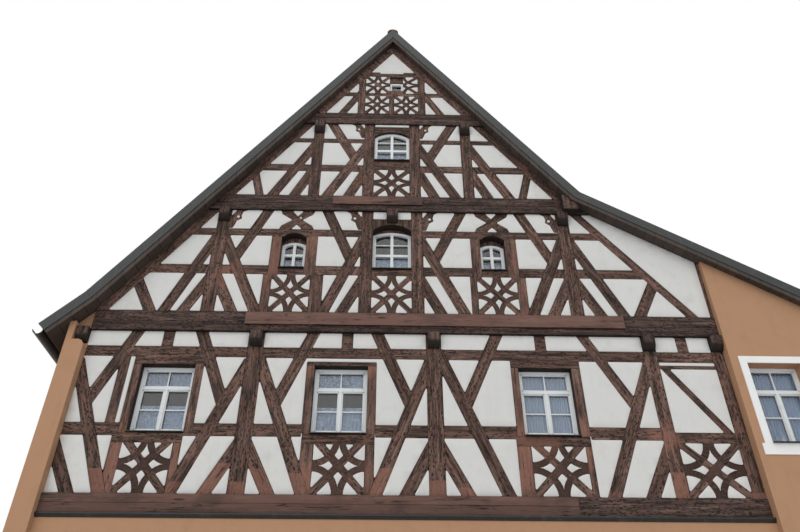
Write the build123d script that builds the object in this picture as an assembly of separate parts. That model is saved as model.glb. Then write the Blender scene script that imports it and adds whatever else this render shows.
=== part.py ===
from build123d import *
import math
import os

os.makedirs("parts", exist_ok=True)

# Half-timbered town house with a tall street gable, all sizes in mm.
# +Z is up, the street front faces -Y, and the origin lies on the ground under the gable's middle,
# in the plane of the first floor's timber front.

# plan and levels
HOUSE_DEPTH = 11000
LEFT_WALL_X = -4840
LEFT_WALL_T = 290
ANNEX_X = 5190
ANNEX_W = 2010
ANNEX_WALL_T = 300
STUCCO_PROUD = 150
GROUND_H = 3730
GROUND_PROUD = 40
GROUND_WALL_T = 450
GROUND_SLAB_T = 160
DECK_T = 160
LEDGE_W = 160

SILL_1_H = 270
S1_CLEAR_H = 2525
PLATE_1_H = 160
SILL_2_H = 185
S2_CLEAR_H = 2095
PLATE_2_H = 155
SILL_3_H = 170
S3_CLEAR_H = 1845
PLATE_3_H = 145
SILL_4_H = 130
JETTY_1 = 20
JETTY_2 = 60
JETTY_3 = 110
JETTY_4 = 150
TIMBER_T = 200
SILL_BACK = 120
INFILL_T = 150
INFILL_PROUD = 14

Z_S1 = GROUND_H + SILL_1_H
Z_P1 = Z_S1 + S1_CLEAR_H
Z_F2 = Z_P1 + PLATE_1_H
Z_S2 = Z_F2 + SILL_2_H
Z_P2 = Z_S2 + S2_CLEAR_H
Z_F3 = Z_P2 + PLATE_2_H
Z_S3 = Z_F3 + SILL_3_H
Z_P3 = Z_S3 + S3_CLEAR_H
Z_F4 = Z_P3 + PLATE_3_H
Z_S4 = Z_F4 + SILL_4_H

LEFT_IN_X = LEFT_WALL_X + LEFT_WALL_T
ANNEX_OUT_X = ANNEX_X + ANNEX_W
ANNEX_IN_X = ANNEX_OUT_X - ANNEX_WALL_T

# roof
RIDGE_X = 36
LEFT_KNEE_H = 361
LEFT_KNEE_OUT = 138
SLOPE_L = 1.455
SLOPE_R = 1.39
SLOPE_FOOT = 1.074
EAVE_L_OUT = 395
KINK_R_X = 3355
SLOPE_CAT = 0.625
EAVE_R_OUT = 360
VERGE_OUT = 300
ROOF_T = 200
TILE_T = 50
RAFTER_W = 170
BOARD_T = 30
BOARD_DROP = 25
FLASHING_T = 12
FLASHING_W = 155
RIDGE_CAP_T = 35
RIDGE_CAP_W = 150
MITRE_GAP = 2

KINK_L_X = LEFT_IN_X - LEFT_KNEE_OUT
RIDGE_Z = Z_F2 + LEFT_KNEE_H + SLOPE_L * (RIDGE_X - KINK_L_X)
EAVE_L_X = LEFT_WALL_X - EAVE_L_OUT
EAVE_R_X = ANNEX_OUT_X + EAVE_R_OUT


def roof_lines(t):
    # the four slopes set down by t square to each, as pairs of slope and height at x = 0
    kink_l_z = RIDGE_Z - SLOPE_L * (RIDGE_X - KINK_L_X)
    kink_r_z = RIDGE_Z - SLOPE_R * (KINK_R_X - RIDGE_X)
    foot = (SLOPE_FOOT, kink_l_z - SLOPE_FOOT * KINK_L_X - t * math.hypot(1, SLOPE_FOOT))
    left = (SLOPE_L, RIDGE_Z - SLOPE_L * RIDGE_X - t * math.hypot(1, SLOPE_L))
    right = (-SLOPE_R, RIDGE_Z + SLOPE_R * RIDGE_X - t * math.hypot(1, SLOPE_R))
    cat = (-SLOPE_CAT, kink_r_z + SLOPE_CAT * KINK_R_X - t * math.hypot(1, SLOPE_CAT))
    return foot, left, right, cat


def meet(a, b):
    # the point where two such lines cross
    x = (b[1] - a[1]) / (a[0] - b[0])
    return (x, a[0] * x + a[1])


def roof_points(t):
    # from eave to eave; both eaves are cut square to their slopes
    foot, left, right, cat = roof_lines(t)
    x0 = EAVE_L_X + t * SLOPE_FOOT / math.hypot(1, SLOPE_FOOT)
    x1 = EAVE_R_X - t * SLOPE_CAT / math.hypot(1, SLOPE_CAT)
    return [
        (x0, foot[0] * x0 + foot[1]), meet(foot, left), meet(left, right), meet(right, cat),
        (x1, cat[0] * x1 + cat[1]),
    ]


# sketch helpers, drawn as x and z on the wall
def rect(x0, z0, x1, z1):
    return Pos((x0 + x1) / 2, (z0 + z1) / 2) * Rectangle(x1 - x0, z1 - z0)


def poly(*pts):
    return Polygon(*pts, align=None)


def bar(x0, z0, x1, z1, w, grow=400):
    length = math.hypot(x1 - x0, z1 - z0)
    angle = math.degrees(math.atan2(z1 - z0, x1 - x0))
    return Pos((x0 + x1) / 2, (z0 + z1) / 2) * Rot(0, 0, angle) * Rectangle(length + 2 * grow, w)


def under_roof(t):
    pts = roof_points(t)
    return poly((pts[0][0], 0), *pts, (pts[4][0], 0))


def roof_band(t0, t1):
    return poly(*roof_points(t0), *reversed(roof_points(t1)))


def under_main(t):
    # the steep slopes alone, run on below their kinks
    foot, left, right, cat = roof_lines(t)
    return poly((-left[1] / left[0], 0), meet(left, right), (-right[1] / right[0], 0))


def arched(x0, z0, x1, z_spring, rise):
    mid = ((x0 + x1) / 2, z_spring + rise)
    with BuildSketch() as sk:
        with BuildLine():
            Polyline((x0, z_spring), (x0, z0), (x1, z0), (x1, z_spring))
            ThreePointArc((x1, z_spring), mid, (x0, z_spring))
        make_face()
    return sk.sketch


def join(shapes):
    out = shapes[0]
    for s in shapes[1:]:
        out = out + s
    return out


def divide(wall, holes, layers):
    # each layer takes what is left of the wall, and the last part is the infill
    rest = wall - holes
    out = []
    for layer in layers:
        out.append(layer & rest)
        rest = rest - layer
    out.append(rest)
    return out


def wall_plane(y):
    return Plane(origin=(0, y, 0), x_dir=(1, 0, 0), z_dir=(0, -1, 0))


CRUMB_AREA = 900


def slabs(sketch, y, depth):
    # one solid for each face of the sketch but crumbs, its front face at y
    out = []
    for face in sketch.faces():
        if face.area > CRUMB_AREA:
            out.append(extrude(wall_plane(y) * face, amount=depth, dir=(0, 1, 0)))
    return out


def box(x0, x1, y0, y1, z0, z1):
    return Pos((x0 + x1) / 2, (y0 + y1) / 2, (z0 + z1) / 2) * Box(x1 - x0, y1 - y0, z1 - z0)


def side_prism(pts, x0, x1):
    # a profile of y and z points, drawn out from x0 to x1
    plane = Plane(origin=(x0, 0, 0), x_dir=(0, 1, 0), z_dir=(1, 0, 0))
    return extrude(plane * poly(*pts), amount=x1 - x0, dir=(1, 0, 0))


NODES = {}


def keep(name, shapes):
    NODES.setdefault(name, [])
    for s in shapes:
        for solid in s.solids():
            NODES[name].append(solid)


# ornament and braces
LATTICE_BAR = 98
LATTICE_ARC = 84
LATTICE_LAP = 0.36
ARC_STEPS = 9


def arc_points(x, z, way_x, way_z, rx, rz):
    # a quarter of an ellipse around x, z
    angles = [math.radians(90 * i / ARC_STEPS) for i in range(ARC_STEPS + 1)]
    return [(x + way_x * rx * math.cos(a), z + way_z * rz * math.sin(a)) for a in angles]


def lattice(x0, z0, x1, z1, scale):
    # four arcs struck from the corners of the panel, and the crossed bars between them
    cx = (x0 + x1) / 2
    cz = (z0 + z1) / 2
    half = LATTICE_ARC * scale / 2
    rx = (x1 - x0) / 2 - LATTICE_LAP * 2 * half
    rz = (z1 - z0) / 2 - LATTICE_LAP * 2 * half
    arcs = []
    for px, way_x in ((x0, 1), (x1, -1)):
        for pz, way_z in ((z0, 1), (z1, -1)):
            outer = arc_points(px, pz, way_x, way_z, rx + half, rz + half)
            inner = arc_points(px, pz, way_x, way_z, rx - half, rz - half)
            ring = outer + inner[::-1]
            if way_x != way_z:
                ring = ring[::-1]
            quarter = rect(min(px, cx), min(pz, cz), max(px, cx), max(pz, cz))
            arcs.append(poly(*ring) & quarter)
    arcs = join(arcs)
    bars = bar(x0, z0, x1, z1, LATTICE_BAR * scale) + bar(x0, z1, x1, z0, LATTICE_BAR * scale)
    return arcs, (bars & rect(x0, z0, x1, z1)) - arcs


def long_brace(face_x, foot_x, z0, head, w):
    # from the foot on the sill up to the post
    way = 1 if foot_x > face_x else -1
    shape = bar(face_x, z0 + head, foot_x, z0, w)
    far = foot_x + way * w
    return shape & rect(min(face_x, far), z0, max(face_x, far), z0 + head + w)


def head_brace(face_x, foot_x, top_x, z0, z1, head, meet_h, w):
    # from the plate down to the long brace, which it meets at meet_h above the sill
    way = 1 if foot_x > face_x else -1
    meet_x = face_x + (foot_x - face_x) * (head - meet_h) / head
    shape = bar(meet_x, z0 + meet_h, top_x, z1, w)
    far = top_x + way * 2 * w
    return shape & poly((face_x, z0 + head), (foot_x, z0), (far, z0), (far, z1), (face_x, z1))


def short_brace(face_x, way, z0, head, run, w):
    shape = bar(face_x, z0 + head, face_x + way * run, z0, w)
    far = face_x + way * 2 * run
    return shape & rect(min(face_x, far), z0, max(face_x, far), z0 + 2 * head)


# first floor front
POST_1_W = 240
POST_2_W = 230
POST_3_W = 200
CORNER_W = 190
POST_1_X = -1998
POST_2_X = 720
POST_3_X = 4045
BRACE_W = 178
CASING_W = 115
CASING_R_W = 130
RAIL_MID_Z = 820
RAIL_MID_H = 190
RAIL_TOP_Z = 2080
RAIL_TOP_H = 180
WINDOW_SILL_Z = 870
WINDOW_HEAD_Z = 1965
LINTEL_B_H = 57
SUB_RAIL_H = 150
LATTICE_HID = 90
STUD_W = 170
BRACE_MEET_Z = 1300
SHORT_HEAD_Z = 590
SHORT_RUN = 310
WINDOW_A_X = -3255
WINDOW_B_X = -676
WINDOW_C_X = 2390
WINDOW_W = 800
LOW_RAIL_H = 160
SIDE_POST_OUT = 583
SIDE_POST_W = 142

# in each bay, out from the window's middle to the left and to the right: the feet of the long
# braces, the tops of the head braces and how wide these are, the lattice's sides and the outsides
# of the low posts;
# then how high the long braces reach, and the stud's place above the window
BAY_FEET = ((563, 369), (434, 548), (699, 721))
BAY_TOPS = ((564, 406), (450, 532), (691, 648))
BAY_HEAD_WIDTHS = ((178, 178), (178, 178), (178, 158))
BAY_LATTICE = ((411, 305), (330, 400), (345, 432))
BAY_LOW_POSTS = ((572, 413), (504, 526), (538, 520))
BAY_HEADS = ((1861, 1890), (1977, 1903), (2087, 1948))
BAY_STUDS = (-87, 74, -20)

p1 = (POST_1_X - POST_1_W / 2, POST_1_X + POST_1_W / 2)
p2 = (POST_2_X - POST_2_W / 2, POST_2_X + POST_2_W / 2)
p3 = (POST_3_X - POST_3_W / 2, POST_3_X + POST_3_W / 2)
p4 = (ANNEX_X - CORNER_W, ANNEX_X)
s1_wall = rect(LEFT_IN_X, Z_S1, ANNEX_X, Z_P1)
s1_posts = join([rect(a, Z_S1, b, Z_P1) for a, b in (p1, p2, p3, p4)])
s1_braces = []
s1_heads = []
s1_casings = []
s1_rails = [rect(LEFT_IN_X, Z_S1 + RAIL_TOP_Z, ANNEX_X, Z_S1 + RAIL_TOP_Z + RAIL_TOP_H)]
s1_arcs = []
s1_bars = []
s1_holes = []
top_rail = Z_S1 + RAIL_TOP_Z
sill = Z_S1 + WINDOW_SILL_Z
head = Z_S1 + WINDOW_HEAD_Z
mid_rail = (Z_S1 + RAIL_MID_Z, Z_S1 + RAIL_MID_Z + RAIL_MID_H)
bays = zip(
    ((LEFT_IN_X, p1[0]), (p1[1], p2[0]), (p2[1], p3[0])), (WINDOW_A_X, WINDOW_B_X, WINDOW_C_X),
    BAY_FEET, BAY_TOPS, BAY_HEAD_WIDTHS, BAY_LATTICE, BAY_LOW_POSTS, BAY_HEADS, BAY_STUDS,
)
for (xl, xr), mid, feet, tops, widths, sides, low_posts, heads, stud in bays:
    wl = mid - WINDOW_W / 2
    wr = mid + WINDOW_W / 2
    in_l = mid - sides[0]
    in_r = mid + sides[1]
    out_l = mid - low_posts[0]
    out_r = mid + low_posts[1]
    s1_holes.append(rect(wl, sill, wr, head))
    panel = rect(in_l, Z_S1, in_r, sill - SUB_RAIL_H)
    spared = rect(wl - CASING_W, sill, wr + CASING_R_W, head + LINTEL_B_H) + panel
    here = join([
        long_brace(xl, mid - feet[0], Z_S1, heads[0], BRACE_W),
        long_brace(xr, mid + feet[1], Z_S1, heads[1], BRACE_W),
        short_brace(xl, 1, Z_S1, SHORT_HEAD_Z, SHORT_RUN, BRACE_W),
        short_brace(xr, -1, Z_S1, SHORT_HEAD_Z, SHORT_RUN, BRACE_W),
    ])
    s1_braces.append(here - spared)
    for face, way, i in ((xl, -1, 0), (xr, 1, 1)):
        foot_x = mid + way * feet[i]
        top_x = mid + way * tops[i]
        s1_heads.append(head_brace(face, foot_x, top_x, Z_S1, Z_P1, heads[i], BRACE_MEET_Z, widths[i]))
    lintel_top = head + LINTEL_B_H if mid == WINDOW_B_X else top_rail
    s1_casings.append(rect(wl - CASING_W, sill, wl, head))
    s1_casings.append(rect(wr, sill, wr + CASING_R_W, head))
    s1_casings.append(rect(out_l, Z_S1, in_l, sill - SUB_RAIL_H))
    s1_casings.append(rect(in_r, Z_S1, out_r, sill - SUB_RAIL_H))
    s1_rails.append(rect(xl, mid_rail[0], wl - CASING_W, mid_rail[1]))
    if mid == WINDOW_A_X:
        s1_rails.append(rect(wr, sill - LOW_RAIL_H, xr, sill) - rect(mid + feet[1], 0, xr, head))
        s1_rails.append(rect(mid + feet[1], mid_rail[0], xr, mid_rail[1]))
    else:
        s1_rails.append(rect(wr + CASING_R_W, mid_rail[0], xr, mid_rail[1]))
    s1_rails.append(rect(out_l, sill - SUB_RAIL_H, out_r, sill))
    s1_rails.append(rect(wl - CASING_W, head, wr + CASING_R_W, lintel_top))
    s1_rails.append(rect(mid + stud - STUD_W / 2, top_rail, mid + stud + STUD_W / 2, Z_P1))
    arcs, bars = lattice(in_l, Z_S1, in_r, sill - SUB_RAIL_H + LATTICE_HID, 1.0)
    s1_arcs.append(arcs & panel)
    s1_bars.append(bars & panel)

# the post beside the left window
side_post_l = WINDOW_A_X - SIDE_POST_OUT - SIDE_POST_W
s1_casings.append(rect(side_post_l, mid_rail[1], side_post_l + SIDE_POST_W, top_rail))

# the right bay, without a window
PANEL_D_Z = 790
PANEL_D_RAIL = 155
STRIP_D_Z = 1965
STRIP_D_H = 60
DIAGONAL_W = 110
DIAGONAL_IN = 80
d_low = Z_S1 + PANEL_D_Z + PANEL_D_RAIL
d_mid = (p3[1] + p4[0]) / 2
s1_rails.append(rect(p3[1], Z_S1 + PANEL_D_Z, p4[0], d_low))
s1_rails.append(rect(p3[1], Z_S1 + STRIP_D_Z, p4[0], Z_S1 + STRIP_D_Z + STRIP_D_H))
s1_rails.append(rect(d_mid - STUD_W / 2, top_rail, d_mid + STUD_W / 2, Z_P1))
arcs, bars = lattice(p3[1], Z_S1, p4[0], Z_S1 + PANEL_D_Z, 1.0)
s1_arcs.append(arcs)
s1_bars.append(bars)
diagonal = bar(p3[1] + DIAGONAL_IN, Z_S1 + STRIP_D_Z, p4[0] - DIAGONAL_IN, d_low, DIAGONAL_W)
s1_braces.append(diagonal & rect(p3[1], d_low, p4[0], Z_S1 + STRIP_D_Z))

s1_layers = [s1_posts, join(s1_braces), join(s1_heads), join(s1_casings)]
s1_layers = s1_layers + [join(s1_rails), join(s1_arcs), join(s1_bars)]
s1 = divide(s1_wall, join(s1_holes), s1_layers)
s1_names = ("posts_1", "braces_1", "head_braces_1", "casings_1", "rails_1", "lattice_1", "lattice_bars_1")
for name, sketch in zip(s1_names, s1):
    keep(name, slabs(sketch, 0, TIMBER_T))
keep("infill_1", slabs(s1[-1], -INFILL_PROUD, INFILL_T))
keep("sills", [box(LEFT_IN_X, ANNEX_X, -JETTY_1, TIMBER_T, GROUND_H, Z_S1)])
keep("plates", [box(LEFT_IN_X, ANNEX_X, -JETTY_2, TIMBER_T, Z_P1, Z_F2)])

# gable storeys
ROOF_IN = under_roof(ROOF_T)
RAFTER_IN = under_main(ROOF_T + RAFTER_W)
GABLE_BRACE_W = 178
GABLE_POST_W = 215
WINDOW_POST_W = 195
HIP_POST_W = 60
FOOT_RAFTER_IN = 350
FOOT_RAFTER_W = 150
ARCH_RISE = 70
FOOT_RAFTER_X = ANNEX_X - FOOT_RAFTER_IN
LATTICE_SCALE = 0.84
TOP_LATTICE_SCALE = 0.62
NOSE_HOLE_R = 27
NOSE_HOLE = (125, -150)
NOSE_OUTLINE = (
    (0, -140), (90, 0), (275, 0), (200, -45), (178, -125), (192, -195), (112, -250), (92, -320),
    (60, -410), (0, -410),
)


def nosed_brace(face_x, way, z1, scale):
    # a short head brace sawn to a nosed outline, with a round hole through it
    pts = [(face_x + way * x * scale, z1 + z * scale) for x, z in NOSE_OUTLINE]
    hole_x = face_x + way * NOSE_HOLE[0] * scale
    return poly(*pts) - Pos(hole_x, z1 + NOSE_HOLE[1] * scale) * Circle(NOSE_HOLE_R * scale)


CROSS_OUT = 295
CROSS_HEEL = (265, 130)
CROSS_WAIST = 85
CROSS_IN = 100
CROSS_TIP_UP = 80
CROSS_TIP_LOW = 105


def flared_cross(x, z0, z1):
    # a crossed pair of short timbers that widen towards their ends
    mid = (z0 + z1) / 2
    heel_x, heel_z = CROSS_HEEL
    left = [
        (-CROSS_IN, z0), (-CROSS_OUT, z0), (-heel_x, mid - heel_z), (-CROSS_WAIST, mid),
        (-heel_x, mid + heel_z), (-CROSS_OUT, z1), (-CROSS_IN, z1), (0, mid + CROSS_TIP_UP),
    ]
    right = [(-dx, z) for dx, z in reversed(left[:-1])]
    pts = left + right + [(0, mid - CROSS_TIP_LOW)]
    return poly(*[(x + dx, z) for dx, z in pts])


# second floor
POST_4_X = -2825
POST_5_X = 3018
S2_POST_L_X = -360
S2_POST_R_X = 491
S2_LOW_H = 725
S2_RAIL_H = 180
S2_HIGH_Z = 1530
S2_HIGH_H = 150
S2_SILL_Z = 860
SIDE_SPRING_Z = 1440
SIDE_HEAD_SPRING_Z = 1500
SIDE_HEAD_RISE = 110
SIDE_WINDOW_W = 420
SIDE_L_X = -1590
SIDE_R_X = 1765
SIDE_CASING_L = 162
SIDE_CASING_R = 190
SIDE_CROSS_IN = 20
CROSS_HOLE = (74, -157)
CROSS_HOLE_R = 20
MID_SPRING_Z = 1690
MID_HEAD_RISE = 138
MID_BLOCK_Z = 1932
MID_BLOCK_W = 187
S2_BRACE_HEAD = 1400
S2_BRACE_MEET = 1020
S2_SHORT_Z = 550
S2_SHORT_RUN = 270
OUTER_FOOT_L = 568
OUTER_FOOT_R = 630
LEAN_FOOT_L = 783
LEAN_FOOT_R = 880
LEAN_RUN = 385
LEAN_TOE = 130
FOOT_RAFTER_DX = 115
FOOT_RAFTER_DZ = 40

# of each side window, out from its middle to the left and to the right: the feet of the long
# braces, the tops of the head braces, the lattice's sides and the outsides of the low posts
SIDE_FEET = ((489, 570), (530, 553))
SIDE_TOPS = ((495, 536), (510, 512))
SIDE_LATTICE = ((294, 338), (312, 347))
SIDE_LOW_POSTS = ((435, 541), (419, 492))

g4 = (POST_4_X - GABLE_POST_W / 2, POST_4_X + GABLE_POST_W / 2)
g5 = (POST_5_X - GABLE_POST_W / 2, POST_5_X + GABLE_POST_W / 2)
gl = (S2_POST_L_X - WINDOW_POST_W / 2, S2_POST_L_X + WINDOW_POST_W / 2)
gr = (S2_POST_R_X - WINDOW_POST_W / 2, S2_POST_R_X + WINDOW_POST_W / 2)
s2_wall = rect(LEFT_IN_X, Z_S2, ANNEX_X, Z_P2) & ROOF_IN
s2_posts = join([rect(a, Z_S2, b, Z_P2) for a, b in (g4, gl, gr, g5)])
s2_posts = s2_posts + rect(ANNEX_X - HIP_POST_W, Z_S2, ANNEX_X, Z_P2)
s2_rafters = rect(LEFT_IN_X, Z_S2, 0, Z_P2) - RAFTER_IN
foot_rafter_top = (KINK_R_X - FOOT_RAFTER_DX, Z_P2 + FOOT_RAFTER_DZ)
foot_rafter = bar(*foot_rafter_top, FOOT_RAFTER_X, Z_S2, FOOT_RAFTER_W)
s2_rafters = s2_rafters + (foot_rafter & rect(g5[1], Z_S2, ANNEX_X, Z_P2))
low = Z_S2 + S2_LOW_H
high = Z_S2 + S2_HIGH_Z
s2_rails = [rect(LEFT_IN_X, low, 0, low + S2_RAIL_H) & RAFTER_IN]
s2_rails.append(rect(LEFT_IN_X, high, 0, high + S2_HIGH_H) & RAFTER_IN)
right_part = poly((0, Z_S2), (FOOT_RAFTER_X, Z_S2), foot_rafter_top, (0, foot_rafter_top[1]))
s2_rails.append(rect(0, low, ANNEX_X, low + S2_RAIL_H) & right_part)
s2_rails.append(rect(0, high, ANNEX_X, high + S2_HIGH_H) & right_part)
s2_braces = []
s2_heads = []
s2_casings = []
s2_arcs = []
s2_bars = []
s2_holes = []
head_fills = []
bays = zip(
    (g4[1], gr[1]), (gl[0], g5[0]), (SIDE_L_X, SIDE_R_X),
    SIDE_FEET, SIDE_TOPS, SIDE_LATTICE, SIDE_LOW_POSTS,
)
for xl, xr, mid, feet, tops, sides, low_posts in bays:
    wl = mid - SIDE_WINDOW_W / 2
    wr = mid + SIDE_WINDOW_W / 2
    in_l = mid - sides[0]
    in_r = mid + sides[1]
    hole = arched(wl, Z_S2 + S2_SILL_Z, wr, Z_S2 + SIDE_HEAD_SPRING_Z, SIDE_HEAD_RISE)
    s2_holes.append(hole)
    head_fills.append(hole - arched(wl, Z_S2 + S2_SILL_Z, wr, Z_S2 + SIDE_SPRING_Z, ARCH_RISE))
    for face, way, foot, top in ((xl, 1, -feet[0], -tops[0]), (xr, -1, feet[1], tops[1])):
        s2_braces.append(long_brace(face, mid + foot, Z_S2, S2_BRACE_HEAD, GABLE_BRACE_W))
        s2_braces.append(short_brace(face, way, Z_S2, S2_SHORT_Z, S2_SHORT_RUN, GABLE_BRACE_W))
        s2_heads.append(nosed_brace(face, way, Z_P2, 1.0))
        s2_heads.append(head_brace(
            face, mid + foot, mid + top, Z_S2, Z_P2, S2_BRACE_HEAD, S2_BRACE_MEET, GABLE_BRACE_W))
    cross = flared_cross(mid + SIDE_CROSS_IN, high + S2_HIGH_H, Z_P2)
    if mid == SIDE_L_X:
        cross = cross - Pos(mid + CROSS_HOLE[0], Z_P2 + CROSS_HOLE[1]) * Circle(CROSS_HOLE_R)
    s2_heads.append(cross)
    s2_casings.append(rect(wl - SIDE_CASING_L, low, wl, high))
    s2_casings.append(rect(wr, low, wr + SIDE_CASING_R, high))
    s2_casings.append(rect(mid - low_posts[0], Z_S2, in_l, low))
    s2_casings.append(rect(in_r, Z_S2, mid + low_posts[1], low))
    s2_rails.append(rect(wl - SIDE_CASING_L, low, wr + SIDE_CASING_R, Z_S2 + S2_SILL_Z))
    arcs, bars = lattice(in_l, Z_S2, in_r, low, LATTICE_SCALE)
    s2_arcs.append(arcs)
    s2_bars.append(bars)
for face, way, foot, lean_foot, edge in (
    (g4[0], -1, OUTER_FOOT_L, LEAN_FOOT_L, RAFTER_IN), (g5[1], 1, OUTER_FOOT_R, LEAN_FOOT_R, right_part),
):
    s2_braces.append(long_brace(face, face + way * foot, Z_S2, S2_BRACE_HEAD, GABLE_BRACE_W))
    s2_braces.append(short_brace(face, way, Z_S2, S2_SHORT_Z, S2_SHORT_RUN, GABLE_BRACE_W))
    lean_x = face + way * lean_foot
    near = lean_x - way * LEAN_TOE
    far = lean_x + way * 2 * LEAN_RUN
    lean = bar(lean_x + way * LEAN_RUN, low, lean_x, Z_S2, GABLE_BRACE_W)
    s2_braces.append(lean & rect(min(near, far), Z_S2, max(near, far), low) & edge)
hole = arched(gl[1], Z_S2 + S2_SILL_Z, gr[0], Z_S2 + MID_SPRING_Z, MID_HEAD_RISE)
s2_holes.append(hole)
head_fills.append(hole - arched(gl[1], Z_S2 + S2_SILL_Z, gr[0], Z_S2 + MID_SPRING_Z, ARCH_RISE))
arcs, bars = lattice(gl[1], Z_S2, gr[0], low, LATTICE_SCALE)
s2_arcs.append(arcs)
s2_bars.append(bars)
s2_mid = (gl[1] + gr[0]) / 2
s2_rails.append(rect(gl[1], low, gr[0], Z_S2 + S2_SILL_Z))
s2_rails.append(rect(gl[1], Z_S2 + MID_SPRING_Z, gr[0], Z_S2 + MID_BLOCK_Z))
s2_rails.append(rect(s2_mid - MID_BLOCK_W / 2, Z_S2 + MID_BLOCK_Z, s2_mid + MID_BLOCK_W / 2, Z_P2))
s2_layers = [s2_rafters, s2_posts, join(s2_braces), join(s2_heads), join(s2_casings)]
s2_layers = s2_layers + [join(s2_rails), join(s2_arcs), join(s2_bars)]
s2 = divide(s2_wall, join(s2_holes), s2_layers)

# third floor
POST_6_X = -1332
POST_7_X = 1427
S3_POST_L_X = -377
S3_POST_R_X = 470
S3_LOW_Z = 590
S3_RAIL_H = 165
S3_HIGH_Z = 1330
S3_HIGH_H = 110
S3_SILL_Z = 885
S3_LIFT = 60
S3_SPRING_Z = 1540
S3_ARCH_RISE = 120
S3_HEAD_DROP = 60
S3_BRACE_HEAD = 1180
S3_BRACE_MEET = 900
S3_SHORT_Z = 520
S3_SHORT_RUN = 240
S3_FOOT_GAP = 620
S3_NOSE_SCALE = 0.9
S3_LEAN_TOP = 1000
S3_LEAN_FOOT = 850
S3_LEAN_W = 140
S3_LEAN_NEAR = 750
S3_LEAN_FAR = 1600
h6 = (POST_6_X - WINDOW_POST_W / 2, POST_6_X + WINDOW_POST_W / 2)
h7 = (POST_7_X - WINDOW_POST_W / 2, POST_7_X + WINDOW_POST_W / 2)
hl = (S3_POST_L_X - WINDOW_POST_W / 2, S3_POST_L_X + WINDOW_POST_W / 2)
hr = (S3_POST_R_X - WINDOW_POST_W / 2, S3_POST_R_X + WINDOW_POST_W / 2)
s3_wall = rect(LEFT_IN_X, Z_S3, ANNEX_X, Z_P3) & ROOF_IN
s3_rafters = rect(LEFT_IN_X, Z_S3, ANNEX_X, Z_P3) - RAFTER_IN
s3_posts = join([rect(a, Z_S3, b, Z_P3) for a, b in (h6, hl, hr, h7)])
low = Z_S3 + S3_LOW_Z
high = Z_S3 + S3_HIGH_Z
s3_rails = [rect(LEFT_IN_X, low, ANNEX_X, low + S3_RAIL_H)]
s3_rails.append(rect(LEFT_IN_X, high, ANNEX_X, high + S3_HIGH_H))
s3_rails.append(rect(hl[1], Z_S3 + S3_SPRING_Z, hr[0], Z_P3 - S3_HEAD_DROP))
s3_braces = []
s3_heads = []
for face_x, way, inner in ((hl[0], -1, True), (hr[1], 1, True), (h6[0], -1, False), (h7[1], 1, False)):
    foot_x = face_x + way * S3_FOOT_GAP
    s3_braces.append(long_brace(face_x, foot_x, Z_S3, S3_BRACE_HEAD, GABLE_BRACE_W))
    s3_braces.append(short_brace(face_x, way, Z_S3, S3_SHORT_Z, S3_SHORT_RUN, GABLE_BRACE_W))
    if inner:
        s3_heads.append(nosed_brace(face_x, way, Z_P3, S3_NOSE_SCALE))
        s3_heads.append(head_brace(
            face_x, foot_x, foot_x, Z_S3, Z_P3, S3_BRACE_HEAD, S3_BRACE_MEET, GABLE_BRACE_W))
    else:
        lean = bar(face_x + way * S3_LEAN_TOP, low, face_x + way * S3_LEAN_FOOT, Z_S3, S3_LEAN_W)
        near = face_x + way * S3_LEAN_NEAR
        far = face_x + way * S3_LEAN_FAR
        s3_braces.append(lean & rect(min(near, far), Z_S3, max(near, far), low))
s3_hole = arched(hl[1], Z_S3 + S3_SILL_Z, hr[0], Z_S3 + S3_SPRING_Z, S3_ARCH_RISE)
s3_panel = rect(hl[1], Z_S3, hr[0], low + S3_LIFT)
s3_arcs, s3_bars = lattice(hl[1], Z_S3, hr[0], low + S3_LIFT, LATTICE_SCALE)
s3_rails[0] = s3_rails[0] - s3_panel
s3_rails.append(rect(hl[1], low + S3_LIFT, hr[0], Z_S3 + S3_SILL_Z))
s3_layers = [s3_rafters, s3_posts, join(s3_braces), join(s3_heads), join(s3_rails), s3_arcs, s3_bars]
s3 = divide(s3_wall, s3_hole, s3_layers)

# top of the gable
S4_POST_L_X = -560
S4_POST_R_X = 621
S4_POST_W = 135
S4_LATTICE_H = 515
S4_RAIL_H = 78
S4_TOP_RAIL_H = 135
S4_TOP_RAIL_HALF = 900
S4_TOP_DIP_W = 473
S4_TOP_DIP_Z = 40
TOP_WINDOW_X = 125
TOP_WINDOW_W = 255
TOP_FRAME_H = 235
TOP_SILL_H = 104
S4_OUT_RAIL_Z = 495
S4_OUT_RAIL_H = 115
S4_OUT_RAIL_HALF = 2000
S4_STUD_W = 90
S4_BRACE_FOOT = 290
S4_BRACE_HEAD = 520
S4_BRACE_W = 140
kl = (S4_POST_L_X - S4_POST_W / 2, S4_POST_L_X + S4_POST_W / 2)
kr = (S4_POST_R_X - S4_POST_W / 2, S4_POST_R_X + S4_POST_W / 2)
row_1 = Z_S4 + S4_LATTICE_H
row_2 = row_1 + S4_RAIL_H
row_top = row_2 + S4_LATTICE_H
out_rail = Z_S4 + S4_OUT_RAIL_Z
s4_mid = (kl[1] + kr[0]) / 2
tl = TOP_WINDOW_X - TOP_WINDOW_W / 2
tr = TOP_WINDOW_X + TOP_WINDOW_W / 2
s4_wall = rect(LEFT_IN_X, Z_S4, ANNEX_X, RIDGE_Z) & ROOF_IN
s4_rafters = s4_wall - RAFTER_IN
s4_posts = rect(kl[0], Z_S4, kl[1], row_top) + rect(kr[0], Z_S4, kr[1], row_top)
s4_posts = s4_posts + rect(s4_mid - S4_STUD_W / 2, Z_S4, s4_mid + S4_STUD_W / 2, row_1)
dip_z = row_top + S4_TOP_RAIL_H - S4_TOP_DIP_Z
dip = rect(s4_mid - S4_TOP_DIP_W / 2, dip_z, s4_mid + S4_TOP_DIP_W / 2, RIDGE_Z)
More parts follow.
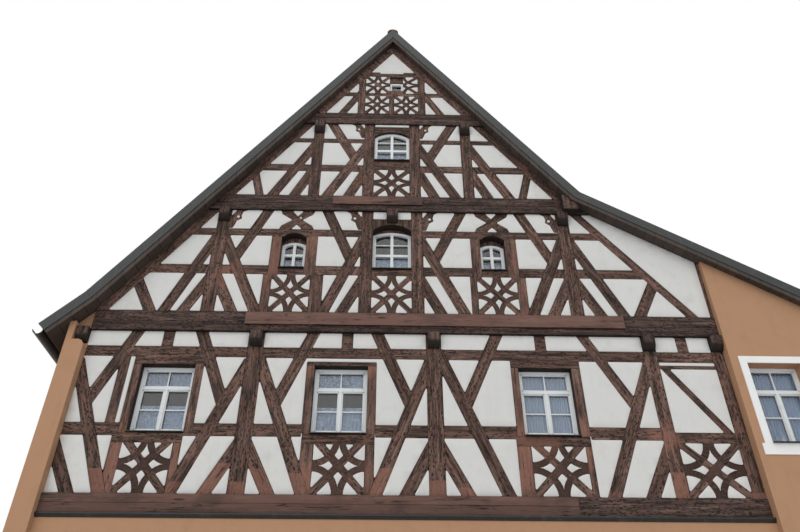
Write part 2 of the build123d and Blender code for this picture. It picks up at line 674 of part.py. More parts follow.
s4_rails = rect(-S4_TOP_RAIL_HALF, row_top, S4_TOP_RAIL_HALF, row_top + S4_TOP_RAIL_H) - dip
s4_rails = s4_rails + rect(kl[1], row_1, kr[0], row_2)
s4_rails = s4_rails + rect(-S4_OUT_RAIL_HALF, out_rail, kl[0], out_rail + S4_OUT_RAIL_H)
s4_rails = s4_rails + rect(kr[1], out_rail, S4_OUT_RAIL_HALF, out_rail + S4_OUT_RAIL_H)
s4_braces = []
for face_x, way in ((kl[0], -1), (kr[1], 1)):
    s4_braces.append(long_brace(face_x, face_x + way * S4_BRACE_FOOT, Z_S4, S4_BRACE_HEAD, S4_BRACE_W))
s4_arcs = []
s4_bars = []
for x0, z0, x1, z1 in (
    (kl[1], Z_S4, s4_mid - S4_STUD_W / 2, row_1),
    (s4_mid + S4_STUD_W / 2, Z_S4, kr[0], row_1),
    (kl[1], row_2, tl, row_top),
):
    arcs, bars = lattice(x0, z0, x1, z1, TOP_LATTICE_SCALE)
    s4_arcs.append(arcs)
    s4_bars.append(bars)

# the window hides the left half of the last one
arcs, bars = lattice(2 * tr - kr[0], row_2, kr[0], row_top, TOP_LATTICE_SCALE)
hidden = rect(2 * tr - kr[0], row_2, tr, row_top)
s4_arcs.append(arcs - hidden)
s4_bars.append(bars - hidden)
top_z = row_2 + TOP_SILL_H
s4_rails = s4_rails + rect(tl, row_2, tr, top_z)
s4_hole = rect(tl, top_z, tr, row_top)
s4_layers = [s4_rafters, s4_posts, join(s4_braces), s4_rails, join(s4_arcs), join(s4_bars)]
s4 = divide(s4_wall, s4_hole, s4_layers)

for parts, y, names in (
    (s2, -JETTY_2, (
        "rafters_g", "posts_g", "braces_g", "head_braces_g", "casings_1", "rails_g", "lattice_g",
        "lattice_bars_g")),
    (s3, -JETTY_3, (
        "rafters_g", "posts_g", "braces_g", "head_braces_g", "rails_g", "lattice_g", "lattice_bars_g")),
    (s4, -JETTY_4, ("rafters_g", "posts_g", "braces_g", "rails_g", "lattice_g", "lattice_bars_g")),
):
    for name, sketch in zip(names, parts):
        keep(name, slabs(sketch, y, TIMBER_T))
    keep("infill_g", slabs(parts[len(names)], y - INFILL_PROUD, INFILL_T))

for y, z0, z1, back in (
    (-JETTY_2, Z_F2, Z_S2, SILL_BACK),
    (-JETTY_3, Z_F3, Z_S3, SILL_BACK - JETTY_2),
    (-JETTY_4, Z_F4, Z_S4, SILL_BACK - JETTY_3),
):
    keep("sills", slabs(rect(LEFT_IN_X, z0, ANNEX_X, z1) & ROOF_IN, y, back - y))
for y, z0, z1, back in (
    (-JETTY_3, Z_P2, Z_F3, TIMBER_T - JETTY_2),
    (-JETTY_4, Z_P3, Z_F4, TIMBER_T - JETTY_3),
):
    keep("plates", slabs(rect(LEFT_IN_X, z0, ANNEX_X, z1) & ROOF_IN, y, back - y))

# facing boards, corbels and the purlin end under the jetties
FACING_T = 25
FACING_GAP = 3
FACING_EDGE = 10
FACING_1_X = (LEFT_IN_X, 2600)
FACING_1_SEAM = 140
FACING_2_X = (-2206, 3727)
FACING_2_H = 220
FACING_3_X = (-983, 593)
FACING_3_H = 185
facing_low = GROUND_H + FACING_1_SEAM
for x, z0, z1, y in (
    (FACING_1_X, GROUND_H + FACING_EDGE, facing_low - FACING_GAP, -JETTY_1),
    (FACING_1_X, facing_low, Z_S1 - FACING_EDGE, -JETTY_1),
    (FACING_2_X, Z_S2 - FACING_EDGE - FACING_2_H, Z_S2 - FACING_EDGE, -JETTY_2),
    (FACING_3_X, Z_S3 - FACING_EDGE - FACING_3_H, Z_S3 - FACING_EDGE, -JETTY_3),
):
    keep("facing_boards", [box(*x, y - FACING_T, y, z0, z1)])

CORBEL_W = 185
CORBEL_H = 250
CORBEL_OUT = 115
CORBEL_NECK = 90
CORBEL_STEPS = 6
END_CORBEL_OUT = 97
END_CORBEL_RISE = 23
PURLIN_X = (3040, 3310)
PURLIN_H = 320
PURLIN_OUT = 140


def corbel(x, y, z_top):
    # a quarter-round end below a square neck
    pts = [(y, z_top), (y - CORBEL_OUT, z_top), (y - CORBEL_OUT, z_top - CORBEL_NECK)]
    for i in range(1, CORBEL_STEPS + 1):
        a = math.radians(90 * i / CORBEL_STEPS)
        drop = CORBEL_NECK + (CORBEL_H - CORBEL_NECK) * math.sin(a)
        pts.append((y - CORBEL_OUT * math.cos(a), z_top - drop))
    return side_prism(pts, x - CORBEL_W / 2, x + CORBEL_W / 2)


for x in (POST_1_X, POST_2_X, POST_3_X, ANNEX_X - CORBEL_W / 2):
    keep("corbels", [corbel(x, 0, Z_P1)])
for x in (POST_4_X, s2_mid, POST_5_X):
    keep("corbels", [corbel(x, -JETTY_2, Z_P2)])
for x in (POST_6_X, POST_7_X):
    keep("corbels", [corbel(x, -JETTY_3, Z_P3)])
keep("corbels", [corbel(LEFT_IN_X - END_CORBEL_OUT, 0, Z_P1 + END_CORBEL_RISE)])
purlin = rect(PURLIN_X[0], Z_P2, PURLIN_X[1], Z_P2 + PURLIN_H) & ROOF_IN
keep("purlin_end", slabs(purlin, -JETTY_3 - PURLIN_OUT, PURLIN_OUT))

# walls below and beside
PILASTER_RISE = 81
NOTCH_DROP = 235
NOTCH_W = 195
OGEE_OUT = 90
OGEE_IN = 40
OGEE_STEP = 20
PILASTER_TOP = Z_P1 + PILASTER_RISE
NOTCH_Z = Z_P1 - NOTCH_DROP
NOTCH_X = LEFT_IN_X - NOTCH_W
DOOR_W = 1250
DOOR_H = 2450
GROUND_WINDOW_W = 950
GROUND_WINDOW_Z = 1150
GROUND_WINDOW_H = 1450
STUCCO_WINDOW_W = 810
STUCCO_SILL_H = 737
STUCCO_WINDOW_Z = Z_S1 + STUCCO_SILL_H
STUCCO_WINDOW_H = 1277
ANNEX_WINDOW_IN = 640
ANNEX_WINDOW_X = ANNEX_X + ANNEX_WINDOW_IN
SIDE_WINDOW_Y = (2200, 5500, 8800)

left_profile = rect(LEFT_WALL_X, 0, LEFT_IN_X, RIDGE_Z) & ROOF_IN
party = slabs(left_profile, 0, HOUSE_DEPTH)[0]
pilaster = poly(
    (LEFT_WALL_X, 0), (LEFT_IN_X, 0), (LEFT_IN_X, NOTCH_Z - OGEE_OUT),
    (LEFT_IN_X - OGEE_IN, NOTCH_Z - OGEE_STEP), (LEFT_IN_X - OGEE_OUT, NOTCH_Z),
    (NOTCH_X, NOTCH_Z), (NOTCH_X, PILASTER_TOP), (LEFT_WALL_X, PILASTER_TOP),
)
party = party + slabs(pilaster & ROOF_IN, -STUCCO_PROUD, STUCCO_PROUD)[0]
keep("party_wall", [party])

front_ground = rect(LEFT_IN_X, 0, ANNEX_X, GROUND_H)
door = rect(WINDOW_B_X - DOOR_W / 2, 0, WINDOW_B_X + DOOR_W / 2, DOOR_H)
ground_windows = []
ground_window_top = GROUND_WINDOW_Z + GROUND_WINDOW_H
for x in (WINDOW_A_X, WINDOW_C_X):
    x0 = x - GROUND_WINDOW_W / 2
    ground_windows.append(rect(x0, GROUND_WINDOW_Z, x0 + GROUND_WINDOW_W, ground_window_top))
front_cut = front_ground - door - join(ground_windows)
front = slabs(front_cut, -GROUND_PROUD, GROUND_WALL_T)[0]
inner_y = GROUND_WALL_T - GROUND_PROUD
ledge = box(LEFT_IN_X, ANNEX_X, inner_y - LEDGE_W, inner_y, GROUND_H - DECK_T, GROUND_H)
back_y = HOUSE_DEPTH - GROUND_WALL_T
back_cut = front_ground - join(ground_windows)
back = slabs(back_cut, back_y, GROUND_WALL_T)[0]
back_ledge = box(LEFT_IN_X, ANNEX_X, back_y, back_y + LEDGE_W, GROUND_H - DECK_T, GROUND_H)
keep("ground_walls", [front - ledge, back - back_ledge])

annex_profile = rect(ANNEX_X, 0, ANNEX_OUT_X, RIDGE_Z) & ROOF_IN
half = STUCCO_WINDOW_W / 2
stucco_window_top = STUCCO_WINDOW_Z + STUCCO_WINDOW_H
annex_hole = rect(ANNEX_WINDOW_X - half, STUCCO_WINDOW_Z, ANNEX_WINDOW_X + half, stucco_window_top)
annex_low = rect(ANNEX_WINDOW_X - half, GROUND_WINDOW_Z, ANNEX_WINDOW_X + half, ground_window_top)
annex_front = annex_profile - annex_hole - annex_low
annex = slabs(annex_front, -STUCCO_PROUD, ANNEX_WALL_T)[0]
annex_side = rect(ANNEX_IN_X, 0, ANNEX_OUT_X, RIDGE_Z) & ROOF_IN
annex_back_y = HOUSE_DEPTH - ANNEX_WALL_T
side = slabs(annex_side, -STUCCO_PROUD, HOUSE_DEPTH + STUCCO_PROUD)[0]
rear = slabs(annex_profile, annex_back_y, ANNEX_WALL_T)[0]
annex = annex + side + rear
for y in SIDE_WINDOW_Y:
    annex = annex - box(ANNEX_IN_X, ANNEX_OUT_X, y - half, y + half, STUCCO_WINDOW_Z, stucco_window_top)
keep("annex_walls", [annex])

# floors
annex_in_y = ANNEX_WALL_T - STUCCO_PROUD
slab = box(LEFT_IN_X, ANNEX_X, inner_y, back_y, 0, GROUND_SLAB_T)
slab = slab + box(ANNEX_X, ANNEX_IN_X, annex_in_y, annex_back_y, 0, GROUND_SLAB_T)
keep("ground_slab", [slab])
deck_1 = box(LEFT_IN_X, ANNEX_X, inner_y - LEDGE_W, back_y + LEDGE_W, GROUND_H - DECK_T, GROUND_H)
deck_1 = deck_1 + box(ANNEX_X, ANNEX_IN_X, annex_in_y, annex_back_y, GROUND_H - DECK_T, GROUND_H)
keep("floor_1", [deck_1])
back_in_y = HOUSE_DEPTH - TIMBER_T
keep("floor_2", [box(LEFT_IN_X, ANNEX_X, SILL_BACK, HOUSE_DEPTH - SILL_BACK, Z_F2, Z_S2)])
deck_3 = rect(LEFT_IN_X, Z_F3, ANNEX_X, Z_S3) & ROOF_IN
keep("floor_3", slabs(deck_3, SILL_BACK - JETTY_2, HOUSE_DEPTH - 2 * SILL_BACK + JETTY_2))
deck_4 = rect(LEFT_IN_X, Z_F4, ANNEX_X, Z_S4) & ROOF_IN
keep("floor_4", slabs(deck_4, SILL_BACK - JETTY_3, HOUSE_DEPTH - 2 * SILL_BACK + JETTY_3))

# roof
deck_band = roof_band(TILE_T, ROOF_T)
tile_band = roof_band(0, TILE_T)
verge_y = -VERGE_OUT + BOARD_T + FLASHING_T
run = HOUSE_DEPTH - 2 * verge_y
kinks_top = roof_points(0)[1:4]
kinks_low = roof_points(ROOF_T + BOARD_DROP)[1:4]
mitres = join([bar(*top, *low, MITRE_GAP, ROOF_T) for top, low in zip(kinks_top, kinks_low)])


def straight_runs(band):
    # the band cut at its kinks into straight lengths, left of the ridge and right of it
    faces = (band - mitres).faces()
    left = [f for f in faces if f.center().X < RIDGE_X]
    right = [f for f in faces if f.center().X > RIDGE_X]
    return Sketch() + left, Sketch() + right


for side, deck, tiles in zip(("left", "right"), straight_runs(deck_band), straight_runs(tile_band)):
    keep("roof_" + side, slabs(deck, verge_y, run))
    keep("tiles_" + side, slabs(tiles, verge_y, run))
cap_x = (RIDGE_X - RIDGE_CAP_W, RIDGE_X + RIDGE_CAP_W)
cap = (under_main(-RIDGE_CAP_T) - under_main(0)) & rect(cap_x[0], 0, cap_x[1], RIDGE_Z + ROOF_T)
keep("ridge_cap", slabs(cap, verge_y, run))
board = roof_band(0, ROOF_T + BOARD_DROP) - mitres
flash = roof_band(0, FLASHING_W) - mitres
keep("verge_boards", slabs(board, verge_y - BOARD_T, BOARD_T))
keep("verge_boards", slabs(board, HOUSE_DEPTH - verge_y, BOARD_T))
keep("verge_flashing", slabs(flash, -VERGE_OUT, FLASHING_T))
keep("verge_flashing", slabs(flash, HOUSE_DEPTH - verge_y + BOARD_T, FLASHING_T))

# plain rear front
BACK_RAIL_H = 180
BACK_POST_W = 200
BACK_CASING_W = 110
BACK_BRACE_RUN = 900
BACK_BRACE_W = 160
BACK_STUD_W = 120
back_half = BACK_POST_W / 2
back_posts_x = (LEFT_IN_X + back_half, POST_1_X, POST_2_X, POST_3_X, ANNEX_X - back_half)


def plain_layer(z0, z1, posts_x, rail_z, holes, wall):
    timbers = [rect(x - back_half, z0, x + back_half, z1) for x in posts_x]
    timbers.append(rect(LEFT_IN_X, z0 + rail_z, ANNEX_X, z0 + rail_z + BACK_RAIL_H))
    for hole in holes:
        bb = hole.bounding_box()
        timbers.append(rect(bb.min.X - BACK_CASING_W, z0, bb.min.X, z1))
        timbers.append(rect(bb.max.X, z0, bb.max.X + BACK_CASING_W, z1))
    for x in (posts_x[0], posts_x[-1]):
        way = 1 if x < 0 else -1
        far = x + way * (BACK_BRACE_RUN + BACK_POST_W)
        brace = bar(x, z1, x + way * BACK_BRACE_RUN, z0, BACK_BRACE_W)
        timbers.append(brace & rect(min(x, far), z0, max(x, far), z1))
    return divide(wall, join(holes), [join(timbers)])


b1_holes = []
for x in (WINDOW_A_X, WINDOW_B_X, WINDOW_C_X):
    b1_holes.append(rect(x - WINDOW_W / 2, Z_S1 + WINDOW_SILL_Z, x + WINDOW_W / 2, Z_S1 + WINDOW_HEAD_Z))
b1 = plain_layer(Z_S1, Z_P1, back_posts_x, WINDOW_SILL_Z - BACK_RAIL_H, b1_holes, s1_wall)
b2_holes = []
for x in (SIDE_L_X, SIDE_R_X):
    b2_holes.append(rect(x - WINDOW_W / 2, Z_S2 + S2_SILL_Z, x + WINDOW_W / 2, Z_S2 + SIDE_SPRING_Z))
b2_posts_x = (POST_4_X, S2_POST_L_X, POST_5_X)
b2 = plain_layer(Z_S2, Z_P2, b2_posts_x, S2_SILL_Z - BACK_RAIL_H, b2_holes, s2_wall)
b3_hole = rect(hl[1], Z_S3 + S3_SILL_Z, hr[0], Z_S3 + S3_SPRING_Z)
b3 = plain_layer(Z_S3, Z_P3, (POST_6_X, POST_7_X), S3_SILL_Z - BACK_RAIL_H, [b3_hole], s3_wall)
b4_stud = rect(-BACK_STUD_W / 2, Z_S4, BACK_STUD_W / 2, RIDGE_Z) & s4_wall
for parts in (b1, b2, b3, (b4_stud, s4_wall - b4_stud)):
    keep("rear_frame", slabs(parts[0], back_in_y, TIMBER_T))
    keep("rear_infill", slabs(parts[1], back_in_y + TIMBER_T - INFILL_T + INFILL_PROUD, INFILL_T))
for z0, z1 in ((GROUND_H, Z_S1), (Z_P1, Z_F2), (Z_P2, Z_F3), (Z_P3, Z_F4)):
    keep("rear_beams", slabs(rect(LEFT_IN_X, z0, ANNEX_X, z1) & ROOF_IN, back_in_y, TIMBER_T))
for z0, z1 in ((Z_F2, Z_S2), (Z_F3, Z_S3), (Z_F4, Z_S4)):
    beam = rect(LEFT_IN_X, z0, ANNEX_X, z1) & ROOF_IN
    keep("rear_beams", slabs(beam, HOUSE_DEPTH - SILL_BACK, SILL_BACK))

# windows and doors
FRAME_W = 55
FRAME_T = 45
GLASS_T = 6
MULLION_W = 50
TRANSOM_H = 48
TRANSOM_SHARE = 0.33
MID_TRANSOM_SHARE = 0.5
S3_TRANSOM_SHARE = 0.455
TOP_FRAME_W = 35
HEAD_BOARD_T = 30
ARCH_FRAME_SHARE = 0.6
ARCH_LIGHT_SHARE = 0.8
SHEET_RISE = 40
SHEET_LIP = 12
SHEET_OUT = 45
TIMBER_RECESS = 120
GABLE_RECESS = 150
S3_RECESS = 55
TOP_RECESS = 30
STUCCO_RECESS = 160


def lights(x0, z0, x1, z1, rise, share):
    # the glazed openings of a window: two below the transom, two above it
    mid = (x0 + x1) / 2
    cut = z1 - share * (z1 + rise - z0)
    if rise:
        spring = z1 - FRAME_W * ARCH_FRAME_SHARE
        top = arched(x0 + FRAME_W, z0 + FRAME_W, x1 - FRAME_W, spring, rise * ARCH_LIGHT_SHARE)
    else:
        top = rect(x0 + FRAME_W, z0 + FRAME_W, x1 - FRAME_W, z1 - FRAME_W)
    top = top - rect(mid - MULLION_W / 2, z0, mid + MULLION_W / 2, z1 + rise)
    return top - rect(x0, cut - TRANSOM_H / 2, x1, cut + TRANSOM_H / 2)


def window(node, x0, z0, x1, z1, rise, y, share=TRANSOM_SHARE):
    outer = arched(x0, z0, x1, z1, rise) if rise else rect(x0, z0, x1, z1)
    keep(node, slabs(outer - lights(x0, z0, x1, z1, rise, share), y, FRAME_T))
    keep("glass", slabs(outer, y + FRAME_T, GLASS_T))


def rear_window(x0, z0, x1, z1, y):
    # a plain one with its glass on the inner side
    outer = rect(x0, z0, x1, z1)
    keep("rear_windows", slabs(outer - lights(x0, z0, x1, z1, 0, TRANSOM_SHARE), y, FRAME_T))
    keep("glass", slabs(outer, y - GLASS_T, GLASS_T))


def sheet(x0, x1, y_wall, y_frame, z):
    y_lip = y_wall - SHEET_OUT
    pts = [(y_lip, z), (y_lip, z + SHEET_LIP), (y_frame, z + SHEET_RISE), (y_frame, z)]
    keep("window_sheets", [side_prism(pts, x0, x1)])


back_frame = HOUSE_DEPTH - TIMBER_RECESS
for mid in (WINDOW_A_X, WINDOW_B_X, WINDOW_C_X):
    x0 = mid - WINDOW_W / 2
    x1 = mid + WINDOW_W / 2
    z0 = Z_S1 + WINDOW_SILL_Z
    z1 = Z_S1 + WINDOW_HEAD_Z
    sheet(x0, x1, 0, TIMBER_RECESS, z0)
    window("frames_1", x0, z0 + SHEET_RISE, x1, z1, 0, TIMBER_RECESS)
    rear_window(x0, z0, x1, z1, back_frame)
for mid in (SIDE_L_X, SIDE_R_X):
    x0 = mid - SIDE_WINDOW_W / 2
    x1 = mid + SIDE_WINDOW_W / 2
    z0 = Z_S2 + S2_SILL_Z
    z1 = Z_S2 + SIDE_SPRING_Z
    sheet(x0, x1, -JETTY_2, GABLE_RECESS - JETTY_2, z0)
    window("frames_g", x0, z0 + SHEET_RISE, x1, z1, ARCH_RISE, GABLE_RECESS - JETTY_2)
    rear_window(mid - WINDOW_W / 2, z0, mid + WINDOW_W / 2, z1, back_frame)
z0 = Z_S2 + S2_SILL_Z
z1 = Z_S2 + MID_SPRING_Z
y = GABLE_RECESS - JETTY_2
sheet(gl[1], gr[0], -JETTY_2, y, z0)
window("frames_g", gl[1], z0 + SHEET_RISE, gr[0], z1, ARCH_RISE, y, MID_TRANSOM_SHARE)
for fill in head_fills:
    keep("head_boards", slabs(fill, y, HEAD_BOARD_T))
z0 = Z_S3 + S3_SILL_Z
z1 = Z_S3 + S3_SPRING_Z
y = S3_RECESS - JETTY_3
sheet(hl[1], hr[0], -JETTY_3, y, z0)
window("frames_g", hl[1], z0 + SHEET_RISE, hr[0], z1, S3_ARCH_RISE, y, S3_TRANSOM_SHARE)
rear_window(hl[1], z0, hr[0], z1, back_frame)
top_y = TOP_RECESS - JETTY_4
board_z = top_z + TOP_FRAME_H
top_frame = rect(tl, top_z, tr, board_z)
top_light = rect(tl + TOP_FRAME_W, top_z + TOP_FRAME_W, tr - TOP_FRAME_W, board_z - TOP_FRAME_W)
keep("frames_g", slabs(top_frame - top_light, top_y, FRAME_T))
keep("glass", slabs(top_frame, top_y + FRAME_T, GLASS_T))
keep("head_boards", slabs(rect(tl, board_z, tr, row_top), top_y, HEAD_BOARD_T))

SURROUND_W = 110
SURROUND_T = 15
EAR_W = 45
EAR_H = 165


def stucco_window(x, z0, w, h, y_wall):
    x0 = x - w / 2
    x1 = x + w / 2
    z1 = z0 + h
    sheet(x0, x1, y_wall - SURROUND_T, y_wall + STUCCO_RECESS, z0)
    window("frames_stucco", x0, z0 + SHEET_RISE, x1, z1, 0, y_wall + STUCCO_RECESS)
    ring = rect(x0 - SURROUND_W, z0 - EAR_H, x1 + SURROUND_W, z1 + SURROUND_W)
    ring = ring + rect(x0 - SURROUND_W - EAR_W, z0 - EAR_H, x1 + SURROUND_W + EAR_W, z0)
    keep("surrounds", slabs(ring - rect(x0, z0, x1, z1), y_wall - SURROUND_T, SURROUND_T))


for x in (WINDOW_A_X, WINDOW_C_X):
    stucco_window(x, GROUND_WINDOW_Z, GROUND_WINDOW_W, GROUND_WINDOW_H, -GROUND_PROUD)
stucco_window(ANNEX_WINDOW_X, GROUND_WINDOW_Z, STUCCO_WINDOW_W, GROUND_WINDOW_H, -STUCCO_PROUD)
stucco_window(ANNEX_WINDOW_X, STUCCO_WINDOW_Z, STUCCO_WINDOW_W, STUCCO_WINDOW_H, -STUCCO_PROUD)

DOOR_FRAME_W = 90
DOOR_FRAME_T = 120
DOOR_LEAF_T = 60
DOOR_RECESS = 200
RING_FOOT = 30
dx0 = WINDOW_B_X - DOOR_W / 2
dx1 = WINDOW_B_X + DOOR_W / 2
door_in = rect(dx0 + DOOR_FRAME_W, 0, dx1 - DOOR_FRAME_W, DOOR_H - DOOR_FRAME_W)
door_y = DOOR_RECESS - GROUND_PROUD
keep("door_frame", slabs(door - door_in, door_y, DOOR_FRAME_T))
keep("door_leaf", slabs(door_in, door_y + DOOR_LEAF_T / 2, DOOR_LEAF_T))
door_ring = rect(dx0 - SURROUND_W, RING_FOOT, dx1 + SURROUND_W, DOOR_H + SURROUND_W) - door
keep("surrounds", slabs(door_ring, -GROUND_PROUD - SURROUND_T, SURROUND_T))

# rear and side windows sit in the same plain frames
for x in (WINDOW_A_X, WINDOW_C_X):
    x0 = x - GROUND_WINDOW_W / 2
    rear_window(x0, GROUND_WINDOW_Z, x0 + GROUND_WINDOW_W, ground_window_top, HOUSE_DEPTH - STUCCO_RECESS)
side_x = ANNEX_OUT_X - STUCCO_RECESS
side_plane = Plane(origin=(side_x, 0, 0), x_dir=(0, 1, 0), z_dir=(1, 0, 0))
for y in SIDE_WINDOW_Y:
    outer = (y - half, STUCCO_WINDOW_Z, y + half, stucco_window_top)
    grid = rect(*outer) - lights(*outer, 0, TRANSOM_SHARE)
    keep("side_windows", [extrude(side_plane * f, amount=FRAME_T, dir=(1, 0, 0)) for f in grid.faces()])
    keep("glass", [box(side_x - GLASS_T, side_x, outer[0], outer[2], outer[1], outer[3])])

# drip moulding and gutters
DRIP_OUT = 35
DRIP_H = 60
DRIP_LIP = 20
DRIP_IN = 12
GUTTER_R = 75
GUTTER_T = 5
GUTTER_DROP = 110
GUTTER_LIP = 60
drip_y = -GROUND_PROUD - DRIP_OUT
drip = [(-GROUND_PROUD, GROUND_H - DRIP_H), (-GROUND_PROUD, GROUND_H), (drip_y, GROUND_H)]
drip = drip + [(drip_y, GROUND_H - DRIP_LIP), (-GROUND_PROUD - DRIP_IN, GROUND_H - DRIP_H)]
keep("drip_moulding", [side_prism(drip, LEFT_IN_X, ANNEX_X)])


def gutter(i, way):
    # a half-round bowl on a lip that lies flat on the cut end of the eave
    rim = roof_points(GUTTER_DROP)[i]
    lip = [roof_points(GUTTER_DROP - GUTTER_LIP)[i], roof_points(GUTTER_DROP + GUTTER_LIP)[i]]
    slope = SLOPE_FOOT if way < 0 else SLOPE_CAT
    dx = way * GUTTER_T / math.hypot(1, slope)
    dz = -GUTTER_T * slope / math.hypot(1, slope)
    strip = poly(lip[0], lip[1], (lip[1][0] + dx, lip[1][1] + dz), (lip[0][0] + dx, lip[0][1] + dz))
    radius = GUTTER_R + GUTTER_T
    x = rim[0] + way * radius
    bowl = Pos(x, rim[1]) * Circle(radius) - Pos(x, rim[1]) * Circle(GUTTER_R)
    bowl = bowl & rect(x - radius, rim[1] - radius, x + radius, rim[1])
    return slabs(bowl + strip, verge_y, run)


keep("gutters", gutter(0, -1))
keep("gutters", gutter(4, 1))

for name, shapes in NODES.items():
    export_step(Compound(children=shapes), "parts/" + name + ".step")
    print(name, len(shapes))
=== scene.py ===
import bmesh
import bpy
import math
import random
from mathutils import Matrix, Vector, noise


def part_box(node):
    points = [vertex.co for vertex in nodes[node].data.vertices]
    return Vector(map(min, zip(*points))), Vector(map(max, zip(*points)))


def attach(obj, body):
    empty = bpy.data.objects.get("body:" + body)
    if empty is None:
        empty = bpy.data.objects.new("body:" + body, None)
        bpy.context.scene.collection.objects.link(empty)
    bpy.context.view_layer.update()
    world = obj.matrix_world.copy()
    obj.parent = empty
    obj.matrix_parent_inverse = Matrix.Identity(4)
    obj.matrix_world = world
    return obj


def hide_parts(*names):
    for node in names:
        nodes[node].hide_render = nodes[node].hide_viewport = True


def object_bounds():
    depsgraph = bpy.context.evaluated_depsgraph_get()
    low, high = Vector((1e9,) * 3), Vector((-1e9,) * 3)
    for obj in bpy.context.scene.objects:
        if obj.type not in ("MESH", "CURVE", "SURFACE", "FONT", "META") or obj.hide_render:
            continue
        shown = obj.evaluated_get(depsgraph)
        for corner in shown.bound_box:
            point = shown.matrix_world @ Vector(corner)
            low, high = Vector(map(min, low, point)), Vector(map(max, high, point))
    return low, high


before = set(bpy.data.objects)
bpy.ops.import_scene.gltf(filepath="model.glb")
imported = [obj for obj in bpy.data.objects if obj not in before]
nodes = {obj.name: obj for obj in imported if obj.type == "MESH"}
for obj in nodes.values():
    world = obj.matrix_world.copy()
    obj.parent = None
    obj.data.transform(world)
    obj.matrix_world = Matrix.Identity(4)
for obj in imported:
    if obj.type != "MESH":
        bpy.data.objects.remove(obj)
cad_low, cad_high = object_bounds()

# both sources of chance start from a fixed seed, so that every run gives the same house
random.seed(11)
noise.seed_set(11)

# The timber frame: oak beams, posts, braces and rails, hewn square, pegged at their joints and
# once painted brown. Each timber is worn at its arrises, waves a little along its faces, and has
# its own run of grain with checks, adze pecks and patches of newer red-brown wood.
ARRIS = 0.009
HEWN_STEP = 0.11
HEWN_WAVE = 0.0035
SIDE_STEP = 0.075
BEND_SCALE = 2.1
NICK_SCALE = 9.0
OUT = Vector((0, -1, 0))
UP = Vector((0, 0, 1))
HOUSE_MIDDLE = (cad_low[1] + cad_high[1]) / 2


def solids_of(name):
    """The separate solids of a CAD node, each as a small bmesh of whole flat faces."""
    whole = bmesh.new()
    whole.from_mesh(nodes[name].data)
    bmesh.ops.remove_doubles(whole, verts=whole.verts, dist=2e-5)
    whole.faces.ensure_lookup_table()
    found = []
    for start in whole.faces:
        if start.tag:
            continue
        start.tag = True
        group, waiting = [], [start]
        while waiting:
            face = waiting.pop()
            group.append(face)
            for edge in face.edges:
                if len(edge.link_faces) != 2:
                    continue
                for other in edge.link_faces:
                    if not other.tag:
                        other.tag = True
                        waiting.append(other)
        part = bmesh.new()
        place = {}
        for face in group:
            for vert in face.verts:
                if vert not in place:
                    place[vert] = part.verts.new(vert.co)
            part.faces.new([place[v] for v in face.verts])
        part.normal_update()
        bmesh.ops.dissolve_limit(part, angle_limit=0.01, verts=part.verts, edges=part.edges)
        part.normal_update()
        found.append(part)
    whole.free()
    return found


def run_of(part):
    """The way a timber runs: along its longest edge across the front."""
    def length(edge):
        way = edge.verts[1].co - edge.verts[0].co
        return math.hypot(way.x, way.z) - 2 * abs(way.y)
    longest = max(part.edges, key=length)
    way = longest.verts[1].co - longest.verts[0].co
    way.y = 0
    return way.normalized()


def measured(part, share=1.0):
    """Notes how far each corner of a solid lies behind its outer face, towards the inside."""
    depth = part.verts.layers.float.new("deep")
    places = [v.co.y for v in part.verts]
    street = min(places) + max(places) < HOUSE_MIDDLE * 2
    front = min(places) if street else max(places)
    for vert in part.verts:
        vert[depth] = abs(vert.co.y - front) * share


def eased(part, edges, width):
    """Wears these edges of a solid round."""
    bmesh.ops.bevel(part, geom=edges, offset=width, segments=2, profile=0.6, affect="EDGES",
                    clamp_overlap=True)


def even_cuts(part, way, step):
    """Even places along a way at which a solid can be cut across."""
    reach = [v.co.dot(way) for v in part.verts]
    low, high = min(reach), max(reach)
    count = int((high - low) / step)
    return [low + (high - low) * (i + 1) / (count + 1) for i in range(count)]


def slice_across(part, way, step):
    """Cuts a solid across at even steps, so that its faces can wave."""
    for place in even_cuts(part, way, step):
        everything = part.verts[:] + part.edges[:] + part.faces[:]
        bmesh.ops.bisect_plane(part, geom=everything, plane_co=way * place, plane_no=way)


def gather(heap, part, grain_at, tone):
    """Adds a finished solid to the lists of a mesh in the making."""
    base = len(heap["verts"])
    part.verts.index_update()
    depth = part.verts.layers.float.get("deep")
    for vert in part.verts:
        heap["verts"].append(vert.co.copy())
        heap["grain"].extend(grain_at(vert.co))
        heap["tone"].append(tone)
        heap["deep"].append(vert[depth] if depth else 0.0)
    for face in part.faces:
        heap["faces"].append([base + v.index for v in face.verts])
    part.free()


def placed(name, data):
    """A new object, put in the scene."""
    made = bpy.data.objects.new(name, data)
    bpy.context.scene.collection.objects.link(made)
    return made


def build(name, heap, sharp=40):
    """One object from such lists, smooth but for its sharp edges."""
    mesh = bpy.data.meshes.new(name)
    mesh.from_pydata(heap["verts"], [], heap["faces"])
    if heap["grain"]:
        mesh.attributes.new("grain", "FLOAT_VECTOR", "POINT").data.foreach_set("vector", heap["grain"])
        mesh.attributes.new("tone", "FLOAT", "POINT").data.foreach_set("value", heap["tone"])
    if len(heap["deep"]) == len(mesh.vertices):
        mesh.attributes.new("deep", "FLOAT", "POINT").data.foreach_set("value", heap["deep"])
    mesh.shade_smooth()
    mesh.set_sharp_from_angle(angle=math.radians(sharp))
    return placed(name, mesh)


def new_heap():
    return {"verts": [], "faces": [], "grain": [], "tone": [], "deep": []}


def dressed(piece, slot, material, *stands_for):
    """Gives a new piece its material, its body and the CAD nodes that it stands for."""
    piece.data.materials.append(material)
    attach(piece, "root")
    if stands_for:
        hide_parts(*stands_for)
    return piece


